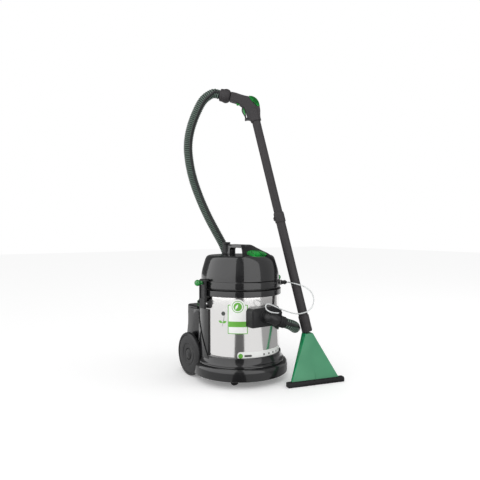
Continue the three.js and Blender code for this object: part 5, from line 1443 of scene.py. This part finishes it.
@dataclass
class Nozzle:
    """Green floor nozzle with its rubber lip."""

    spot: Pair = (180.0, -283.5)
    turn: float = -14.1
    half_width: float = 108.0
    half_depth: float = 8.0
    top: float = 196.0
    neck: float = 18.0
    lean: float = 0.365
    lip_length: float = 258.0
    lip_height: float = 20.0

    def place(self) -> Matrix:
        """Place of the lip's middle on the floor, with X along the lip."""
        return Matrix.Translation((*self.spot, 0)) @ Matrix.Rotation(math.radians(self.turn), 4, "Z")

    def body(self) -> None:
        """Makes the flared body: flat faces, crisp edges and a low rib; its sides and bevels are painted
        darker as shade.
        """
        levels = [(20.3, 0.0), (34, 0.05), (170, 0.86), (184, 0.97), (self.top, 1.0)]
        form = Form()
        rings = []
        for z, t in levels:
            half_x = self.half_width + (self.neck - self.half_width) * min(1, (z - 20) / 176)
            half_y = self.half_depth + (self.neck - self.half_depth) * t ** 1.6
            ring = bmesh.ops.create_circle(form.bm, cap_ends=False, segments=4, radius=math.sqrt(2),
                                           matrix=Matrix.Translation((0, z * self.lean, z))
                                           @ Matrix.Diagonal((half_x, half_y, 1, 1))
                                           @ Matrix.Rotation(math.radians(45), 4, "Z"))["verts"]
            rings.append({e for v in ring for e in v.link_edges})
        for lower, upper in zip(rings, rings[1:]):
            bmesh.ops.bridge_loops(form.bm, edges=list(lower | upper))
        bmesh.ops.holes_fill(form.bm, edges=[e for e in form.bm.edges if e.is_boundary], sides=0)
        bmesh.ops.bevel(form.bm, geom=[e for e in form.bm.edges
                                       if abs(e.verts[0].co.z - e.verts[1].co.z) > 1],
                        offset=4.0, segments=4, profile=0.5, affect="EDGES", material=-1, clamp_overlap=True)
        form.moved(self.place())
        shell = form.piece("nozzle_shell", NOZZLE_GREEN, stands_for=["nozzle_body"], crease=32)
        shell.data.materials.append(NOZZLE_SIDE_SHADE.material())
        shell.data.materials.append(NOZZLE_EDGE_SHADE.material())
        # Faces turned sideways take the dark side green and the bevels the edge green, painted shade by
        # facing; the front keeps the plain green.
        sideways = self.place().to_3x3() @ Vector((1, 0, 0))
        for face in shell.data.polygons:
            turned = abs(face.normal.dot(sideways))
            face.material_index = 1 if turned > 0.93 else 2 if turned > 0.42 else 0
        lean = Matrix.Identity(4)
        lean[1][2] = self.lean
        rib = Form().block((-1.0, -self.half_depth - 1.6, 22), (1.0, -self.half_depth + 3, 84), 0.8)
        rib.moved(self.place() @ lean)
        rib.piece("nozzle_rib", NOZZLE_GREEN, crease=40)

    def lip(self) -> None:
        """Makes the rubber lip with rounded ends and the teeth along its upper edge."""
        half, high = self.lip_length / 2, self.lip_height
        side = [(-11, 0), (12, 0), (14, 5), (15, high - 4), (12, high), (-7, high), (-12, high - 5), (-13, 6)]
        form = Form().raised(side, -half, half, SIDE, corner=1.6, soft=5.5, segments=4)
        for i in range(10):
            x = (i - 4.5) * 21
            form.block((x - 3, -14, 3), (x + 3, -9, 12), 1.2)
            form.block((x - 4, -9.5, high - 1.5), (x + 4, -7.6, high + 2.2), 0.8)
        form.moved(self.place()).piece("rubber_lip", RUBBER, stands_for=["nozzle_lip"], crease=45)

    def build(self) -> None:
        """Makes the whole nozzle."""
        self.body()
        self.lip()


# ---- carried-over pieces -----------------------------------------------------------------------
FINISH_OF_SLOT = {"gloss_black": GLOSS_BLACK, "satin_black": SATIN_BLACK, "rubber": RUBBER,
                  "polished_steel": DRUM_STEEL, "plain_steel": PLAIN_STEEL, "green_clear": GREEN_LENS,
                  "copper": COPPER, "white_plastic": NATURAL_WHITE, "wand_grey": MATTE_GREY,
                  "nozzle_green": NOZZLE_GREEN, "hose_green": HOSE_SKIN, "clear_tube": CLEAR_TUBE}


def finish_nodes() -> None:
    """Gives every CAD node the finish of its slot in the record."""
    slots = {row["node"]: row["material_slot"] for row in frame["record"]["subparts"]}
    for name, node in frame["nodes"].items():
        node.data.materials.clear()
        node.data.materials.append(FINISH_OF_SLOT[slots[name]].material())
        node.data.shade_smooth()
        node.data.set_sharp_from_angle(angle=math.radians(30))


def main() -> None:
    """Builds the studio and every sub-assembly."""
    logging.basicConfig(level=logging.INFO, format="%(message)s")
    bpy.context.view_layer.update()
    Studio().build()
    Cords().build()
    finish_nodes()
    for assembly in (Drum(), Head(), Base(), Tank(), Inlet(), Clamp(-1, "left"), Clamp(1, "right"), Wand(),
                     Nozzle()):
        assembly.build()
        LOG.info("%s done", type(assembly).__name__)


if __name__ == "__main__":
    main()
